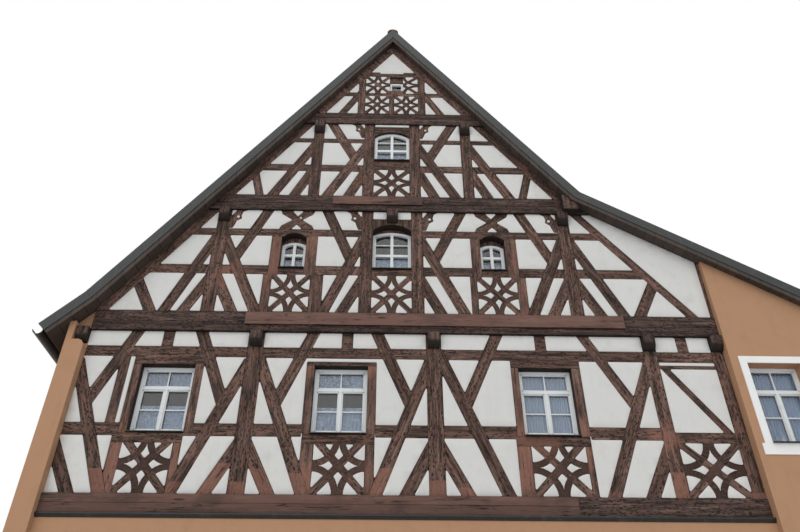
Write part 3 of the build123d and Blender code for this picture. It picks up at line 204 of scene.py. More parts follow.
def put(tree, kind, inputs=(), **settings):
    """Adds a shader node, with sockets linked or set by name or number."""
    made = tree.nodes.new("ShaderNode" + kind)
    for key, value in settings.items():
        setattr(made, key, value)
    for socket, value in dict(inputs).items():
        if isinstance(value, bpy.types.NodeSocket):
            tree.links.new(value, made.inputs[socket])
        else:
            made.inputs[socket].default_value = value
    return made


def calc(tree, operation, a, b=0.0):
    return put(tree, "Math", {0: a, 1: b}, operation=operation).outputs[0]


def times(tree, a, b):
    return calc(tree, "MULTIPLY", a, b)


def plus(tree, a, b):
    return calc(tree, "ADD", a, b)


def grey(tree, value):
    """This value as a grey, for a colour to be multiplied by."""
    return put(tree, "CombineXYZ", {0: value, 1: value, 2: value}).outputs[0]


def between(tree, value, low, high):
    """0 at low, 1 at high, and a smooth step between them."""
    limits = {"Value": value, "From Min": low, "From Max": high}
    return put(tree, "MapRange", limits, interpolation_type="SMOOTHSTEP").outputs["Result"]


def mixed(tree, share, a, b, blend="MIX"):
    return put(tree, "Mix", {0: share, 6: a, 7: b}, data_type="RGBA", blend_type=blend).outputs[2]


def cloud(tree, place, scale, detail=4.0, rough=0.55):
    values = {"Vector": place, "Scale": scale, "Detail": detail, "Roughness": rough}
    return put(tree, "TexNoise", values).outputs["Fac"]


def stretched(tree, place, x, y, z):
    return put(tree, "VectorMath", {0: place, 1: (x, y, z)}, operation="MULTIPLY").outputs[0]


def effect(name, inputs, outputs):
    """An empty shader group with these named inputs and outputs."""
    group = bpy.data.node_groups.new(name, "ShaderNodeTree")
    for label, value in inputs.items():
        kind = "NodeSocketColor" if isinstance(value, tuple) else "NodeSocketFloat"
        group.interface.new_socket(label, in_out="INPUT", socket_type=kind).default_value = value
    for label, kind in outputs.items():
        group.interface.new_socket(label, in_out="OUTPUT", socket_type="NodeSocket" + kind)
    return group, group.nodes.new("NodeGroupInput").outputs, group.nodes.new("NodeGroupOutput").inputs


SURFACE = {"Color": "Color", "Roughness": "Float", "Height": "Float"}


def made_of(name, group, values, bump, bump_reach=0.01, **fixed):
    """A material whose colour, roughness and relief come from one shader group."""
    material = bpy.data.materials.new(name)
    material.use_nodes = True
    tree = material.node_tree
    shader = tree.nodes["Principled BSDF"]
    effects = tree.nodes.new("ShaderNodeGroup")
    effects.node_tree = group
    for label, value in values.items():
        effects.inputs[label].default_value = value
    relief = {"Height": effects.outputs["Height"], "Strength": bump, "Distance": bump_reach}
    relief = put(tree, "Bump", relief)
    tree.links.new(effects.outputs["Color"], shader.inputs["Base Color"])
    tree.links.new(effects.outputs["Roughness"], shader.inputs["Roughness"])
    tree.links.new(relief.outputs["Normal"], shader.inputs["Normal"])
    for label, value in fixed.items():
        shader.inputs[label.replace("_", " ")].default_value = value
    return material


oak, given, out = effect(
    "weathered_oak",
    {"Dark": (0.03, 0.02, 0.016, 1), "Brown": (0.1, 0.055, 0.04, 1), "Red": (0.2, 0.08, 0.055, 1),
     "Worn": (0.25, 0.17, 0.14, 1), "Redness": 0.0, "Pecks": 1.0, "Foot": 0.0, "Knots": 0.0},
    SURFACE,
)
grain = put(oak, "Attribute", attribute_name="grain").outputs["Vector"]
tone = put(oak, "Attribute", attribute_name="tone").outputs["Fac"]
place = put(oak, "TexCoord").outputs["Object"]
sideways = put(oak, "VectorMath", {0: grain, 1: (0, 1, 0)}, operation="CROSS_PRODUCT").outputs[0]
along = put(oak, "VectorMath", {0: place, 1: grain}, operation="DOT_PRODUCT").outputs["Value"]
across = put(oak, "VectorMath", {0: place, 1: sideways}, operation="DOT_PRODUCT").outputs["Value"]
axes = put(oak, "SeparateXYZ", {0: place}).outputs
shift = times(oak, tone, 37.0)
local = {0: plus(oak, along, shift), 1: plus(oak, across, shift), 2: axes["Y"]}
local = put(oak, "CombineXYZ", local).outputs[0]
streaks = cloud(oak, stretched(oak, local, 1.6, 19, 19), 1.0, 7.0, 0.62)
fibres = cloud(oak, stretched(oak, local, 9, 120, 120), 1.0, 5.0, 0.6)
blotch = cloud(oak, stretched(oak, local, 1.3, 2.8, 2.8), 1.0, 5.0, 0.62)
patches = cloud(oak, stretched(oak, local, 5, 14, 14), 1.0, 4.0, 0.6)

# drying checks: thin dark lines that follow the grain for a while
line = cloud(oak, stretched(oak, local, 0.9, 18, 18), 1.0, 3.0, 0.5)
line = calc(oak, "ABSOLUTE", calc(oak, "SUBTRACT", line, 0.5))
checks = times(oak, between(oak, line, 0.016, 0.004), between(oak, blotch, 0.44, 0.54))

# adze pecks: short, ragged dark nicks, cut to key an older coat of plaster
cells = put(oak, "TexVoronoi", {"Vector": stretched(oak, local, 14, 42, 26), "Scale": 1.0, "Randomness": 1.0})
ragged = times(oak, cloud(oak, local, 45.0, 3.0, 0.6), 0.6)
pecks = between(oak, plus(oak, cells.outputs["Distance"], ragged), 0.70, 0.53)
pecks = times(oak, pecks, between(oak, blotch, 0.66, 0.50))
pecks = times(oak, pecks, given["Pecks"])

# knots, each with a dark heart
knot = put(oak, "TexVoronoi", {"Vector": stretched(oak, local, 1.5, 7.5, 1.5), "Scale": 1.0})
knots = times(oak, between(oak, knot.outputs["Distance"], 0.17, 0.07), given["Knots"])

# patches of newer, redder wood, and feet of posts and braces that were spliced in
repaired = between(oak, plus(oak, cloud(oak, place, 0.55, 2.0), given["Redness"]), 0.60, 0.66)
scarf = times(oak, calc(oak, "FRACT", times(oak, tone, 7.3)), 0.42)
scarf = plus(oak, given["Foot"], scarf)
new_foot = calc(oak, "LESS_THAN", axes["Z"], scarf)
new_foot = times(oak, new_foot, calc(oak, "GREATER_THAN", tone, 0.35))
repaired = calc(oak, "MAXIMUM", repaired, new_foot)

# the colour: brown with darker and redder streaks, paler where the fibres are worn
body = mixed(oak, between(oak, streaks, 0.30, 0.66), given["Dark"], given["Brown"])
body = mixed(oak, times(oak, between(oak, patches, 0.46, 0.68), 0.5), body, given["Red"])
newer = mixed(oak, between(oak, streaks, 0.2, 0.5), given["Brown"], given["Red"])
body = mixed(oak, times(oak, repaired, 0.85), body, newer)
body = mixed(oak, times(oak, between(oak, blotch, 0.52, 0.72), 0.5), body, given["Dark"])
body = mixed(oak, times(oak, between(oak, fibres, 0.52, 0.72), 0.4), body, given["Dark"])
worn = times(oak, between(oak, plus(oak, fibres, streaks), 1.06, 1.26), 0.6)
body = mixed(oak, worn, body, given["Worn"])
stain = cloud(oak, stretched(oak, place, 1.1, 1.1, 2.6), 1.0, 5.0, 0.6)
stain = times(oak, between(oak, stain, 0.50, 0.64), given["Knots"])
body = mixed(oak, times(oak, stain, 0.5), body, given["Dark"])
shade = plus(oak, times(oak, tone, 0.4), 0.8)
body = mixed(oak, 1.0, body, grey(oak, shade), "MULTIPLY")
fresh = calc(oak, "SUBTRACT", 1.0, times(oak, repaired, 0.7))
marks_and_shade = calc(oak, "MAXIMUM", checks, times(oak, times(oak, pecks, fresh), 0.9))
marks_and_shade = calc(oak, "MAXIMUM", marks_and_shade, times(oak, knots, 0.7))

# painted shade, with soot, in the joints and on the reveals: the wood darkens the further it lies behind its
# face
deep = put(oak, "Attribute", attribute_name="deep").outputs["Fac"]
marks_and_shade = calc(oak, "MAXIMUM", marks_and_shade, times(oak, between(oak, deep, 0.001, 0.016), 0.88))
body = mixed(oak, marks_and_shade, body, (0.010, 0.008, 0.007, 1))
oak.links.new(body, out["Color"])
oak.links.new(plus(oak, times(oak, streaks, 0.25), 0.62), out["Roughness"])
height = calc(oak, "SUBTRACT", times(oak, streaks, 0.6), times(oak, marks_and_shade, 0.9))
height = plus(oak, height, times(oak, fibres, 0.25))
oak.links.new(height, out["Height"])

OAK_COLOURS = {"Dark": (0.028, 0.018, 0.015, 1), "Brown": (0.155, 0.090, 0.070, 1),
               "Red": (0.205, 0.097, 0.070, 1), "Worn": (0.27, 0.175, 0.145, 1)}
# a darker copy of the oak for the beams: painted shade under the jetties and eaves
SHADED_BEAM_COLOURS = {"Dark": (0.020, 0.014, 0.012, 1), "Brown": (0.098, 0.060, 0.050, 1),
                "Red": (0.130, 0.066, 0.052, 1), "Worn": (0.18, 0.12, 0.10, 1)}
BOARD_COLOURS = {"Dark": (0.040, 0.027, 0.024, 1), "Brown": (0.100, 0.060, 0.050, 1),
                 "Red": (0.140, 0.074, 0.058, 1), "Worn": (0.20, 0.125, 0.10, 1)}


def oak_of(name, colours, bump, reach, **values):
    return made_of(name, oak, {**colours, **values}, bump, reach, Specular_IOR_Level=0.2)


old_oak = oak_of("old_oak", OAK_COLOURS, 0.9, 0.012, Redness=-0.03)
foot_oak = oak_of("foot_oak", OAK_COLOURS, 0.9, 0.012, Redness=-0.03, Foot=4.05)
shaded_beam_oak = oak_of("shaded_beam_oak", SHADED_BEAM_COLOURS, 0.9, 0.012, Redness=-0.06)
red_oak = oak_of("red_oak", OAK_COLOURS, 0.6, 0.010, Redness=0.10, Pecks=0.55)
board_oak = oak_of("board_oak", BOARD_COLOURS, 0.4, 0.008, Redness=0.4, Pecks=0.0, Knots=1.0)


def waved(part, way, seed, wave):
    """Moves a solid's corners a little, as hewn and shrunken wood has them."""
    side = way.cross(OUT)
    for vert in part.verts:
        bend = noise.noise_vector(vert.co * BEND_SCALE + seed)
        nick = noise.noise_vector(vert.co * NICK_SCALE + seed)
        vert.co += side * (bend.x * wave + nick.x * wave * 0.3)
        vert.co += OUT * (bend.y * wave * 0.8 + nick.y * wave * 0.25)


def hewn(name, material, arris=ARRIS, step=HEWN_STEP, wave=HEWN_WAVE):
    """The node's timbers, each with worn edges and a slight wave."""
    heap = new_heap()
    for number, part in enumerate(solids_of(name)):
        way = run_of(part)
        eased(part, part.edges[:], arris)
        slice_across(part, way, step)
        slice_across(part, way.cross(OUT), SIDE_STEP)
        measured(part)
        waved(part, way, Vector((number * 3.7, 0, number * 1.3)), wave)
        gather(heap, part, lambda co, way=way: way, random.random())
    dressed(build(name + "_hewn", heap), "timber", material, name)


for name in ("posts_1", "braces_1"):
    hewn(name, foot_oak)
for name in ("head_braces_1", "rails_1", "rafters_g", "posts_g", "braces_g", "head_braces_g", "rails_g"):
    hewn(name, old_oak)
# the sills, plates, corbels and purlin end take the darker oak, painted shade under the jetties and eaves
for name in ("sills", "plates", "corbels", "purlin_end"):
    hewn(name, shaded_beam_oak, arris=0.013)
hewn("casings_1", red_oak)
hewn("facing_boards", board_oak, arris=0.004, wave=0.002)
hewn("head_boards", old_oak, arris=0.003, wave=0.001)
for name in ("rear_frame", "rear_beams"):
    hewn(name, old_oak, step=0.6, wave=0.002)

# The curved lattice panels under the windows: crossed bars and quarter circles sawn from planks
# and halved over each other. The grain of each arc follows its curve.
LATTICE_EDGE = 0.005
LATTICE_GROWN = 0.014
LATTICE_LAP = 0.006
LATTICE_SHARP = 0.5
# how much faster the lattice pieces darken behind their faces: painted shade, with soot, in the seams
SEAM_SHADE_AND_SOOT = 3.0
FRAME_NEAR = 0.004
NOTCH_LEFT = 0.014


def extent(part):
    """The lowest and highest x and z of a solid."""
    low = Vector((min(v.co.x for v in part.verts), 0, min(v.co.z for v in part.verts)))
    return low, Vector((max(v.co.x for v in part.verts), 0, max(v.co.z for v in part.verts)))


def lattice_grain(low, high):
    """The run of the grain inside one lattice panel: round the arcs and along the bars."""
    corners = [Vector((x, 0, z)) for x in (low.x, high.x) for z in (low.z, high.z)]
    middle = (low + high) / 2

    def round_arc(co):
        near = min(corners, key=lambda c: math.hypot(co.x - c.x, co.z - c.z))
        return Vector((near.z - co.z, 0, co.x - near.x)).normalized()

    def along_bar(co):
        way = Vector((co.x - middle.x, 0, co.z - middle.z))
        rising = 1 if way.x * way.z > 0 else -1
        return Vector((high.x - low.x, 0, rising * (high.z - low.z))).normalized()
    return round_arc, along_bar


def widened(part, low, high, grown):
    """Moves the sides of a flat piece outwards, but for its ends against the frame."""
    moves, inner = {}, []
    for vert in part.verts:
        sides = [f.normal.copy() for f in vert.link_faces if abs(f.normal.y) < 0.5]
        held = []
        for face in vert.link_faces:
            middle = face.calc_center_median()
            edge = min(middle.x - low.x, high.x - middle.x, middle.z - low.z, high.z - middle.z)
            if abs(face.normal.y) < 0.5 and edge < FRAME_NEAR:
                held.append(face.normal.copy())
        free = [n for n in sides if all((n - h).length > 1e-4 for h in held)]
        if held and free:
            along = held[0].cross(OUT)
            moves[vert] = along * (grown / along.dot(free[0])) if abs(along.dot(free[0])) > 0.3 else Vector()
        elif len(free) > 1:
            both = free[0] + free[1]
            moves[vert] = both * (grown / max(0.5, both.dot(free[0])))
        elif free:
            moves[vert] = free[0] * grown
        if free and not held:
            inner.append(vert)
    for vert, move in moves.items():
        vert.co += move
    for vert in inner:
        vert.co.x = min(max(vert.co.x, low.x + NOTCH_LEFT), high.x - NOTCH_LEFT)
        vert.co.z = min(max(vert.co.z, low.z + NOTCH_LEFT), high.z - NOTCH_LEFT)


def sawn(part, low, high, lap):
    """One piece of a panel, widened to its real width; a bar has worn edges and laps the arcs."""
    bmesh.ops.triangulate(part, faces=part.faces[:])
    widened(part, low, high, LATTICE_GROWN)
    part.normal_update()
    arrises = [e for e in part.edges if e.calc_face_angle(0) > LATTICE_SHARP]
    if lap:
        eased(part, arrises, LATTICE_EDGE)
    measured(part, SEAM_SHADE_AND_SOOT)
    for vert in part.verts:
        vert.co.y -= lap


def latticed(rings, bars):
    """Both layers of the panels; gives back the corners of each panel."""
    panels = [(part, *extent(part)) for part in solids_of(rings)]
    heaps = (new_heap(), new_heap())
    for part, low, high in panels:
        sawn(part, low, high, 0.0)
        gather(heaps[0], part, lattice_grain(low, high)[0], random.random())
    for part in solids_of(bars):
        low, high = extent(part)
        middle = (low + high) / 2
        low, high = min((q[1:] for q in panels), key=lambda q: (q[0] + q[1] - 2 * middle).length)
        sawn(part, low, high, LATTICE_LAP)
        gather(heaps[1], part, lattice_grain(low, high)[1], random.random())
    for name, heap in zip((rings, bars), heaps):
        dressed(build(name + "_sawn", heap), "timber", old_oak, name)
    return [q[1:] for q in panels]


lattice_panels = latticed("lattice_1", "lattice_bars_1") + latticed("lattice_g", "lattice_bars_g")

# The infill between the timbers: wattle and daub or brick, plastered by trowel and limewashed.
# Each panel stands a little proud of the wood with rounded edges, and is not quite flat.
PANEL_EDGE = 0.016
PANEL_CORNER = 0.02
PANEL_WAVE = 0.0025
PANEL_STEP = 0.13
CORNER_OPEN = math.radians(155)
CORNER_SHARE = 0.38
CORNER_STEPS = 4
MITRE_LEAST = 0.55
RIM_ROUND = 0.29

skin, given, out = effect(
    "mineral_skin",
    {"Tint": (0.8, 0.8, 0.8, 1), "Soil": (0.5, 0.48, 0.45, 1), "Mottle": 0.5, "Streaks": 0.5,
     "Sand": 0.5, "RimShade": 0.0},
    SURFACE,
)
place = put(skin, "TexCoord").outputs["Object"]
wide = cloud(skin, place, 0.8, 5.0, 0.6)
middling = cloud(skin, place, 4.5, 6.0, 0.62)
fine = cloud(skin, place, 90.0, 3.0, 0.6)
rain = cloud(skin, stretched(skin, place, 9, 9, 0.7), 1.0, 5.0, 0.6)
soil = times(skin, between(skin, middling, 0.48, 0.78), given["Mottle"])
cloudy = times(skin, between(skin, wide, 0.5, 0.72), times(skin, given["Mottle"], 0.5))
soil = plus(skin, soil, cloudy)
soil = plus(skin, soil, times(skin, between(skin, rain, 0.52, 0.8), given["Streaks"]))
# painted shade: the rounded rim of each panel darkens the further it lies behind the panel's front, towards
# the wood
rim = put(skin, "Attribute", attribute_name="deep").outputs["Fac"]
rim = between(skin, plus(skin, rim, times(skin, middling, 0.004)), 0.002, 0.014)
coat = mixed(skin, calc(skin, "MINIMUM", soil, 1.0), given["Tint"], given["Soil"])
coat = mixed(skin, times(skin, rim, given["RimShade"]), coat, (0.09, 0.075, 0.065, 1))
grit = plus(skin, times(skin, fine, 0.10), 0.95)
coat = mixed(skin, 1.0, coat, grey(skin, grit), "MULTIPLY")
skin.links.new(coat, out["Color"])
skin.links.new(plus(skin, times(skin, middling, 0.15), 0.78), out["Roughness"])
height = plus(skin, times(skin, fine, given["Sand"]), times(skin, middling, 0.8))
skin.links.new(height, out["Height"])

limewash = made_of(
    "limewash", skin,
    {"Tint": (0.63, 0.62, 0.605, 1), "Soil": (0.45, 0.43, 0.395, 1), "Mottle": 0.24, "Streaks": 0.16,
     "Sand": 0.25, "RimShade": 0.9},
    0.35, 0.006,
)


def filleted(points, radius):
    """The outline with its sharp corners rounded, and the smallest radius that was used."""
    smooth, least = [], radius
    count = len(points)
    for i in range(count):
        before, here, after = points[i - 1], points[i], points[(i + 1) % count]
        back, on = before - here, after - here
        angle = back.angle(on)
        if angle > CORNER_OPEN:
            smooth.append(here)
            continue
        reach = min(radius / math.tan(angle / 2), CORNER_SHARE * back.length, CORNER_SHARE * on.length)
        least = min(least, reach * math.tan(angle / 2))
        start = here + back.normalized() * reach
        end = here + on.normalized() * reach
        for k in range(CORNER_STEPS + 1):
            t = k / CORNER_STEPS
            smooth.append(start * (1 - t) ** 2 + here * 2 * t * (1 - t) + end * t ** 2)
    return smooth, least


def inset(points, distance):
    """The outline moved inwards by a distance; it runs round with the inside on its right."""
    moved = []
    count = len(points)
    for i in range(count):
        a = (points[i] - points[i - 1]).normalized()
        b = (points[(i + 1) % count] - points[i]).normalized()
        side_a, side_b = Vector((a.y, -a.x)), Vector((b.y, -b.x))
        both = side_a + side_b
        share = max(MITRE_LEAST, 0.5 * both.length_squared)
        moved.append(points[i] + both * (distance / (2 * share)))
    return moved


def plastered(name):
    """Each panel as a closed pillow: rounded corners, a rounded rim, and a front that waves."""
    heap = new_heap()
    for number, solid in enumerate(solids_of(name)):
        face = min(solid.faces, key=lambda f: f.normal.y * f.calc_area())
        points = [Vector((v.co.x, v.co.z)) for v in face.verts]
        front = face.verts[0].co.y
        back = max(v.co.y for v in solid.verts)
        solid.free()
        turn = sum(points[i - 1].cross(points[i]) for i in range(len(points)))
        if turn > 0:
            points.reverse()
        middle = sum(points, Vector((0, 0))) / len(points)
        in_lattice = any(a.x < middle.x < b.x and a.z < middle.y < b.z for a, b in lattice_panels)
        shrunk = LATTICE_GROWN if in_lattice else 0.0
        points, least = filleted(inset(points, shrunk), PANEL_CORNER)
        rim = min(PANEL_EDGE, 0.9 * least)
        part = bmesh.new()
        loops = []
        round_at = RIM_ROUND * rim
        for reach, y in ((0, back), (0, front + rim), (round_at, front + round_at), (rim, front)):
            loops.append([part.verts.new((q.x, y, q.y)) for q in inset(points, reach)])
        for outer, inner in zip(loops, loops[1:]):
            for i in range(len(outer)):
                part.faces.new((outer[i - 1], outer[i], inner[i], inner[i - 1]))
        part.faces.new(loops[-1])
        part.faces.new(loops[0][::-1])
        bmesh.ops.recalc_face_normals(part, faces=part.faces)
        measured(part)
        for way in (Vector((1, 0, 0)), UP):
            for place in even_cuts(part, way, PANEL_STEP):
                caps = [f for f in part.faces if f.normal.y < -0.99]
                edges = list({e for f in caps for e in f.edges})
                verts = list({v for f in caps for v in f.verts})
                bmesh.ops.bisect_plane(part, geom=verts + edges + caps, plane_co=way * place, plane_no=way)
        waved(part, UP, Vector((number * 2.9, 5, 0)), PANEL_WAVE)
        gather(heap, part, lambda co: UP, random.random())
    dressed(build(name + "_plaster", heap, 50), "infill", limewash, name)


for name in ("infill_1", "infill_g", "rear_infill"):
    plastered(name)

# The masonry: the ground floor, the party wall with its pier and the annex, rendered with lime
# and sand and washed in a warm orange, with softly rounded corners.
orange_render = made_of(
    "orange_render", skin,
    {"Tint": (0.415, 0.228, 0.128, 1), "Soil": (0.31, 0.175, 0.105, 1), "Mottle": 0.35,
     "Streaks": 0.30, "Sand": 0.6},
    0.45, 0.006,
)


def softened(name, width, segments=2):
    """Rounds the edges of a CAD node."""
    rounding = nodes[name].modifiers.new("rounding", "BEVEL")
    rounding.width = width
    rounding.segments = segments
    rounding.limit_method = "ANGLE"
    rounding.angle_limit = math.radians(35)


def finished(name, material):
    """Gives a CAD node its material."""
    nodes[name].data.materials.clear()
    nodes[name].data.materials.append(material)


for name in ("party_wall", "ground_walls", "annex_walls"):
    softened(name, 0.012)
    finished(name, orange_render)

# The flat bands round the door and windows in the rendered walls, run in plaster with eared
# sills and painted white.
band_white = made_of(
    "band_white", skin,
    {"Tint": (0.80, 0.80, 0.79, 1), "Soil": (0.60, 0.59, 0.56, 1), "Mottle": 0.2,
     "Streaks": 0.22, "Sand": 0.3},
    0.3, 0.004,
)
softened("surrounds", 0.003)
finished("surrounds", band_white)

# The floors: wide oak boards nailed on the storey beams, with open seams between them, and
# stone flags laid on the ground.
flags = made_of(
    "flags", skin,
    {"Tint": (0.34, 0.32, 0.29, 1), "Soil": (0.2, 0.19, 0.17, 1), "Mottle": 0.6, "Streaks": 0.0, "Sand": 0.8},
    0.5, 0.008,
)
finished("ground_slab", flags)

boards, given, out = effect(
    "planed_boards",
    {"Wood": (0.3, 0.18, 0.1, 1), "Seam": (0.03, 0.02, 0.015, 1), "Width": 0.16, "Gloss": 0.5},
    SURFACE,
)
place = put(boards, "TexCoord").outputs["Object"]
parts = put(boards, "SeparateXYZ", {0: place}).outputs
row = calc(boards, "DIVIDE", parts["X"], given["Width"])
board = calc(boards, "FLOOR", row)
seam = calc(boards, "ABSOLUTE", calc(boards, "SUBTRACT", calc(boards, "FRACT", row), 0.5))
seam = between(boards, seam, 0.465, 0.49)
tint = put(boards, "TexWhiteNoise", {"W": board}, noise_dimensions="1D").outputs["Value"]
offset = put(boards, "CombineXYZ", {1: times(boards, tint, 19.0)}).outputs[0]
moved = put(boards, "VectorMath", {0: place, 1: offset}, operation="ADD").outputs[0]
streak = cloud(boards, stretched(boards, moved, 30, 1.6, 30), 1.0, 6.0, 0.6)
light = plus(boards, times(boards, streak, 0.7), 0.45)
light = plus(boards, times(boards, tint, 0.4), light)
plank = mixed(boards, 1.0, given["Wood"], grey(boards, light), "MULTIPLY")
boards.links.new(mixed(boards, seam, plank, given["Seam"]), out["Color"])
boards.links.new(plus(boards, times(boards, streak, 0.2), given["Gloss"]), out["Roughness"])
boards.links.new(calc(boards, "SUBTRACT", times(boards, streak, 0.3), seam), out["Height"])
floor_boards = made_of("floor_boards", boards, {"Wood": (0.12, 0.075, 0.045, 1), "Gloss": 0.55}, 0.5, 0.004)
for name in ("floor_1", "floor_2", "floor_3", "floor_4"):
    finished(name, floor_boards)

# The windows: white painted wood with a fixed transom, casements with one glazing bar each below
# it, and an upright bar above. The oil paint is a little chalky and streaked with dirt.
FRAME_W = 0.05
MULLION_W = 0.046
CASEMENT_FOOT = 0.0204
CASEMENT_T = 0.018
GLAZING_BAR = 0.02
GLASS_GAP = 0.001
CASEMENT_BACK = 0.012
BAR_BACK = 0.008
UPPER_BAR_BACK = 0.006
JOINT_STEP = 0.0005
TRANSOM_SHARE = 0.33
WIDE_WINDOW = 0.6
UPPER_BAR_SHARE = 0.31

paint, given, out = effect(
    "old_paint",
    {"Tint": (0.8, 0.8, 0.8, 1), "Soil": (0.4, 0.4, 0.38, 1), "Wear": 0.3}, SURFACE,
)
place = put(paint, "TexCoord").outputs["Object"]
blot = cloud(paint, place, 7.0, 6.0, 0.65)
brush = cloud(paint, stretched(paint, place, 60, 60, 60), 1.0, 3.0, 0.5)
drip = cloud(paint, stretched(paint, place, 22, 22, 1.5), 1.0, 4.0, 0.6)
worn = plus(paint, between(paint, blot, 0.5, 0.8), between(paint, drip, 0.55, 0.85))
worn = times(paint, worn, given["Wear"])
paint.links.new(mixed(paint, worn, given["Tint"], given["Soil"]), out["Color"])
paint.links.new(plus(paint, times(paint, blot, 0.25), 0.33), out["Roughness"])
paint.links.new(plus(paint, times(paint, brush, 0.4), blot), out["Height"])
window_paint = made_of(
    "window_paint", paint,
    {"Tint": (0.68, 0.70, 0.71, 1), "Soil": (0.40, 0.41, 0.40, 1), "Wear": 0.35}, 0.15, 0.003,
)
for name in ("frames_g", "rear_windows", "side_windows"):
    softened(name, 0.004)
    finished(name, window_paint)


def block(part, low, high, edge=0.003):
    """Adds a block with eased edges to a bmesh."""
    made = bmesh.ops.create_cube(part, size=1)["verts"]
    middle = (Vector(low) + Vector(high)) / 2
    size = Vector(high) - Vector(low)
    for vert in made:
        vert.co = middle + Vector((vert.co.x * size.x, vert.co.y * size.y, vert.co.z * size.z))
    edges = list({e for v in made for e in v.link_edges})
    bmesh.ops.bevel(part, geom=edges, offset=edge, segments=1, affect="EDGES", clamp_overlap=True)


def boxes_of(name):
    """The lowest and highest corner of each solid in a node, from left to right."""
    found = []
    for part in solids_of(name):
        low = Vector([min(v.co[i] for v in part.verts) for i in range(3)])
        high = Vector([max(v.co[i] for v in part.verts) for i in range(3)])
        found.append((low, high))
        part.free()
    return found


def window_frame(part, low, high, cut):
    """The fixed frame: posts, head and sill, the transom, and the mullion up to the transom."""
    x_mid = (low.x + high.x) / 2
    half = MULLION_W / 2
    bars = (
        (low.x, low.x + FRAME_W, low.z, high.z), (high.x - FRAME_W, high.x, low.z, high.z),
        (low.x, high.x, low.z, low.z + FRAME_W), (low.x, high.x, high.z - FRAME_W, high.z),
        (low.x, high.x, cut - half, cut + half), (x_mid - half, x_mid + half, low.z, cut),
    )
    for number, (x0, x1, z0, z1) in enumerate(bars):
        block(part, (x0, low.y + JOINT_STEP * number, z0), (x1, high.y - GLASS_GAP, z1), 0.005)


def casements(part, low, high, cut):
    """The opening lights: stiles and rails round each light, and thin glazing bars."""
    x_mid = (low.x + high.x) / 2
    y0, y1 = low.y + CASEMENT_BACK, high.y - GLASS_GAP
    half = MULLION_W / 2
    lower = (low.z + FRAME_W, cut - half)
    upper = (cut + half, high.z - FRAME_W)
    left, right = low.x + FRAME_W, high.x - FRAME_W
    for x0, x1, (z0, z1) in ((left, x_mid - half, lower), (x_mid + half, right, lower), (left, right, upper)):
        block(part, (x0, y0, z0), (x0 + CASEMENT_T, y1, z1))
        block(part, (x1 - CASEMENT_T, y0, z0), (x1, y1, z1))
        block(part, (x0, y0, z0), (x1, y1, z0 + CASEMENT_FOOT))
        block(part, (x0, y0, z1 - CASEMENT_T), (x1, y1, z1))
        thin = GLAZING_BAR / 2
        z, x = (z0 + z1) / 2, (x0 + x1) / 2
        if z0 < cut:
            block(part, (x0, y0 + BAR_BACK, z - thin), (x1, y1, z + thin))
        else:
            block(part, (x - thin, y0 + UPPER_BAR_BACK, z0), (x + thin, y1, z1))


for name in ("frames_1", "frames_stucco"):
    heap = new_heap()
    for low, high in boxes_of(name):
        part = bmesh.new()
        cut = high.z - TRANSOM_SHARE * (high.z - low.z)
        window_frame(part, low, high, cut)
        casements(part, low, high, cut)
        gather(heap, part, lambda co: UP, 0.5)
    dressed(build(name + "_joined", heap), "window_white", window_paint, name)

# the wide gable windows have one more thin bar in each upper light
heap = new_heap()
for low, high in boxes_of("frames_g"):
    if high.x - low.x > WIDE_WINDOW:
        part = bmesh.new()
        z = high.z - UPPER_BAR_SHARE * (high.z - low.z)
        thin = GLAZING_BAR / 2
        block(part, (low.x + FRAME_W, low.y + CASEMENT_BACK, z - thin),
              (high.x - FRAME_W, high.y - GLASS_GAP, z + thin))
        gather(heap, part, lambda co: UP, 0.5)
dressed(build("gable_bars", heap), "window_white", window_paint)

# The panes: thin drawn window glass, almost flat, puttied into the frames. It is clear, and it
# lets the daylight in to the curtains.
pane = bpy.data.materials.new("window_glass")
pane.use_nodes = True
tree = pane.node_tree
shader = tree.nodes["Principled BSDF"]
place = put(tree, "TexCoord").outputs["Object"]
ripple = put(tree, "Bump", {"Height": cloud(tree, place, 5.0, 2.0), "Strength": 0.01, "Distance": 0.004})
smears = times(tree, cloud(tree, place, 9.0, 4.0), 0.05)
tree.links.new(smears, shader.inputs["Roughness"])
tree.links.new(ripple.outputs["Normal"], shader.inputs["Normal"])
shader.inputs["Base Color"].default_value = (0.93, 0.96, 0.97, 1)
shader.inputs["Transmission Weight"].default_value = 1.0
shader.inputs["IOR"].default_value = 1.45
clear = put(tree, "BsdfTransparent", {"Color": (0.9, 0.93, 0.94, 1)})
path = put(tree, "LightPath").outputs["Is Shadow Ray"]
see = put(tree, "MixShader", {0: path, 1: shader.outputs[0], 2: clear.outputs[0]})
tree.links.new(see.outputs[0], tree.nodes["Material Output"].inputs["Surface"])
finished("glass", pane)

# The sheet metal on the window sills, the drip moulding under the sill beam and the gutters:
# folded zinc and copper, weathered dark, with a dull sheen and pale scratches; its nearly black colour is
# also painted shade, for the shadow under the sills and the sill beam.
dark_sheet = made_of(
    "dark_sheet", paint,
    {"Tint": (0.028, 0.027, 0.026, 1), "Soil": (0.10, 0.095, 0.088, 1), "Wear": 0.5},
    0.3, 0.003, Metallic=0.6,
)
for name in ("window_sheets", "drip_moulding", "gutters"):
    finished(name, dark_sheet)
    softened(name, 0.002, 1)

# The curtains: machine-made lace behind the lower panes with short scalloped valances above, and
# pleated voile sheers in the other large windows. They hang straight from thin rods. The white thread
# is coloured a dim blue-grey: painted shade of the rooms and painted reflection of the sky in the glass.
LACE_BEHIND = 0.036
CURTAIN_IN = 0.03
CURTAIN_PART = 0.01
CURTAIN_FOOT = 0.02
CAFE_TOP = 0.46
GABLE_LACE_IN = 0.02
GABLE_LACE_SHARE = 0.42
SCALLOP = 0.018
CURTAIN_ROWS = 8
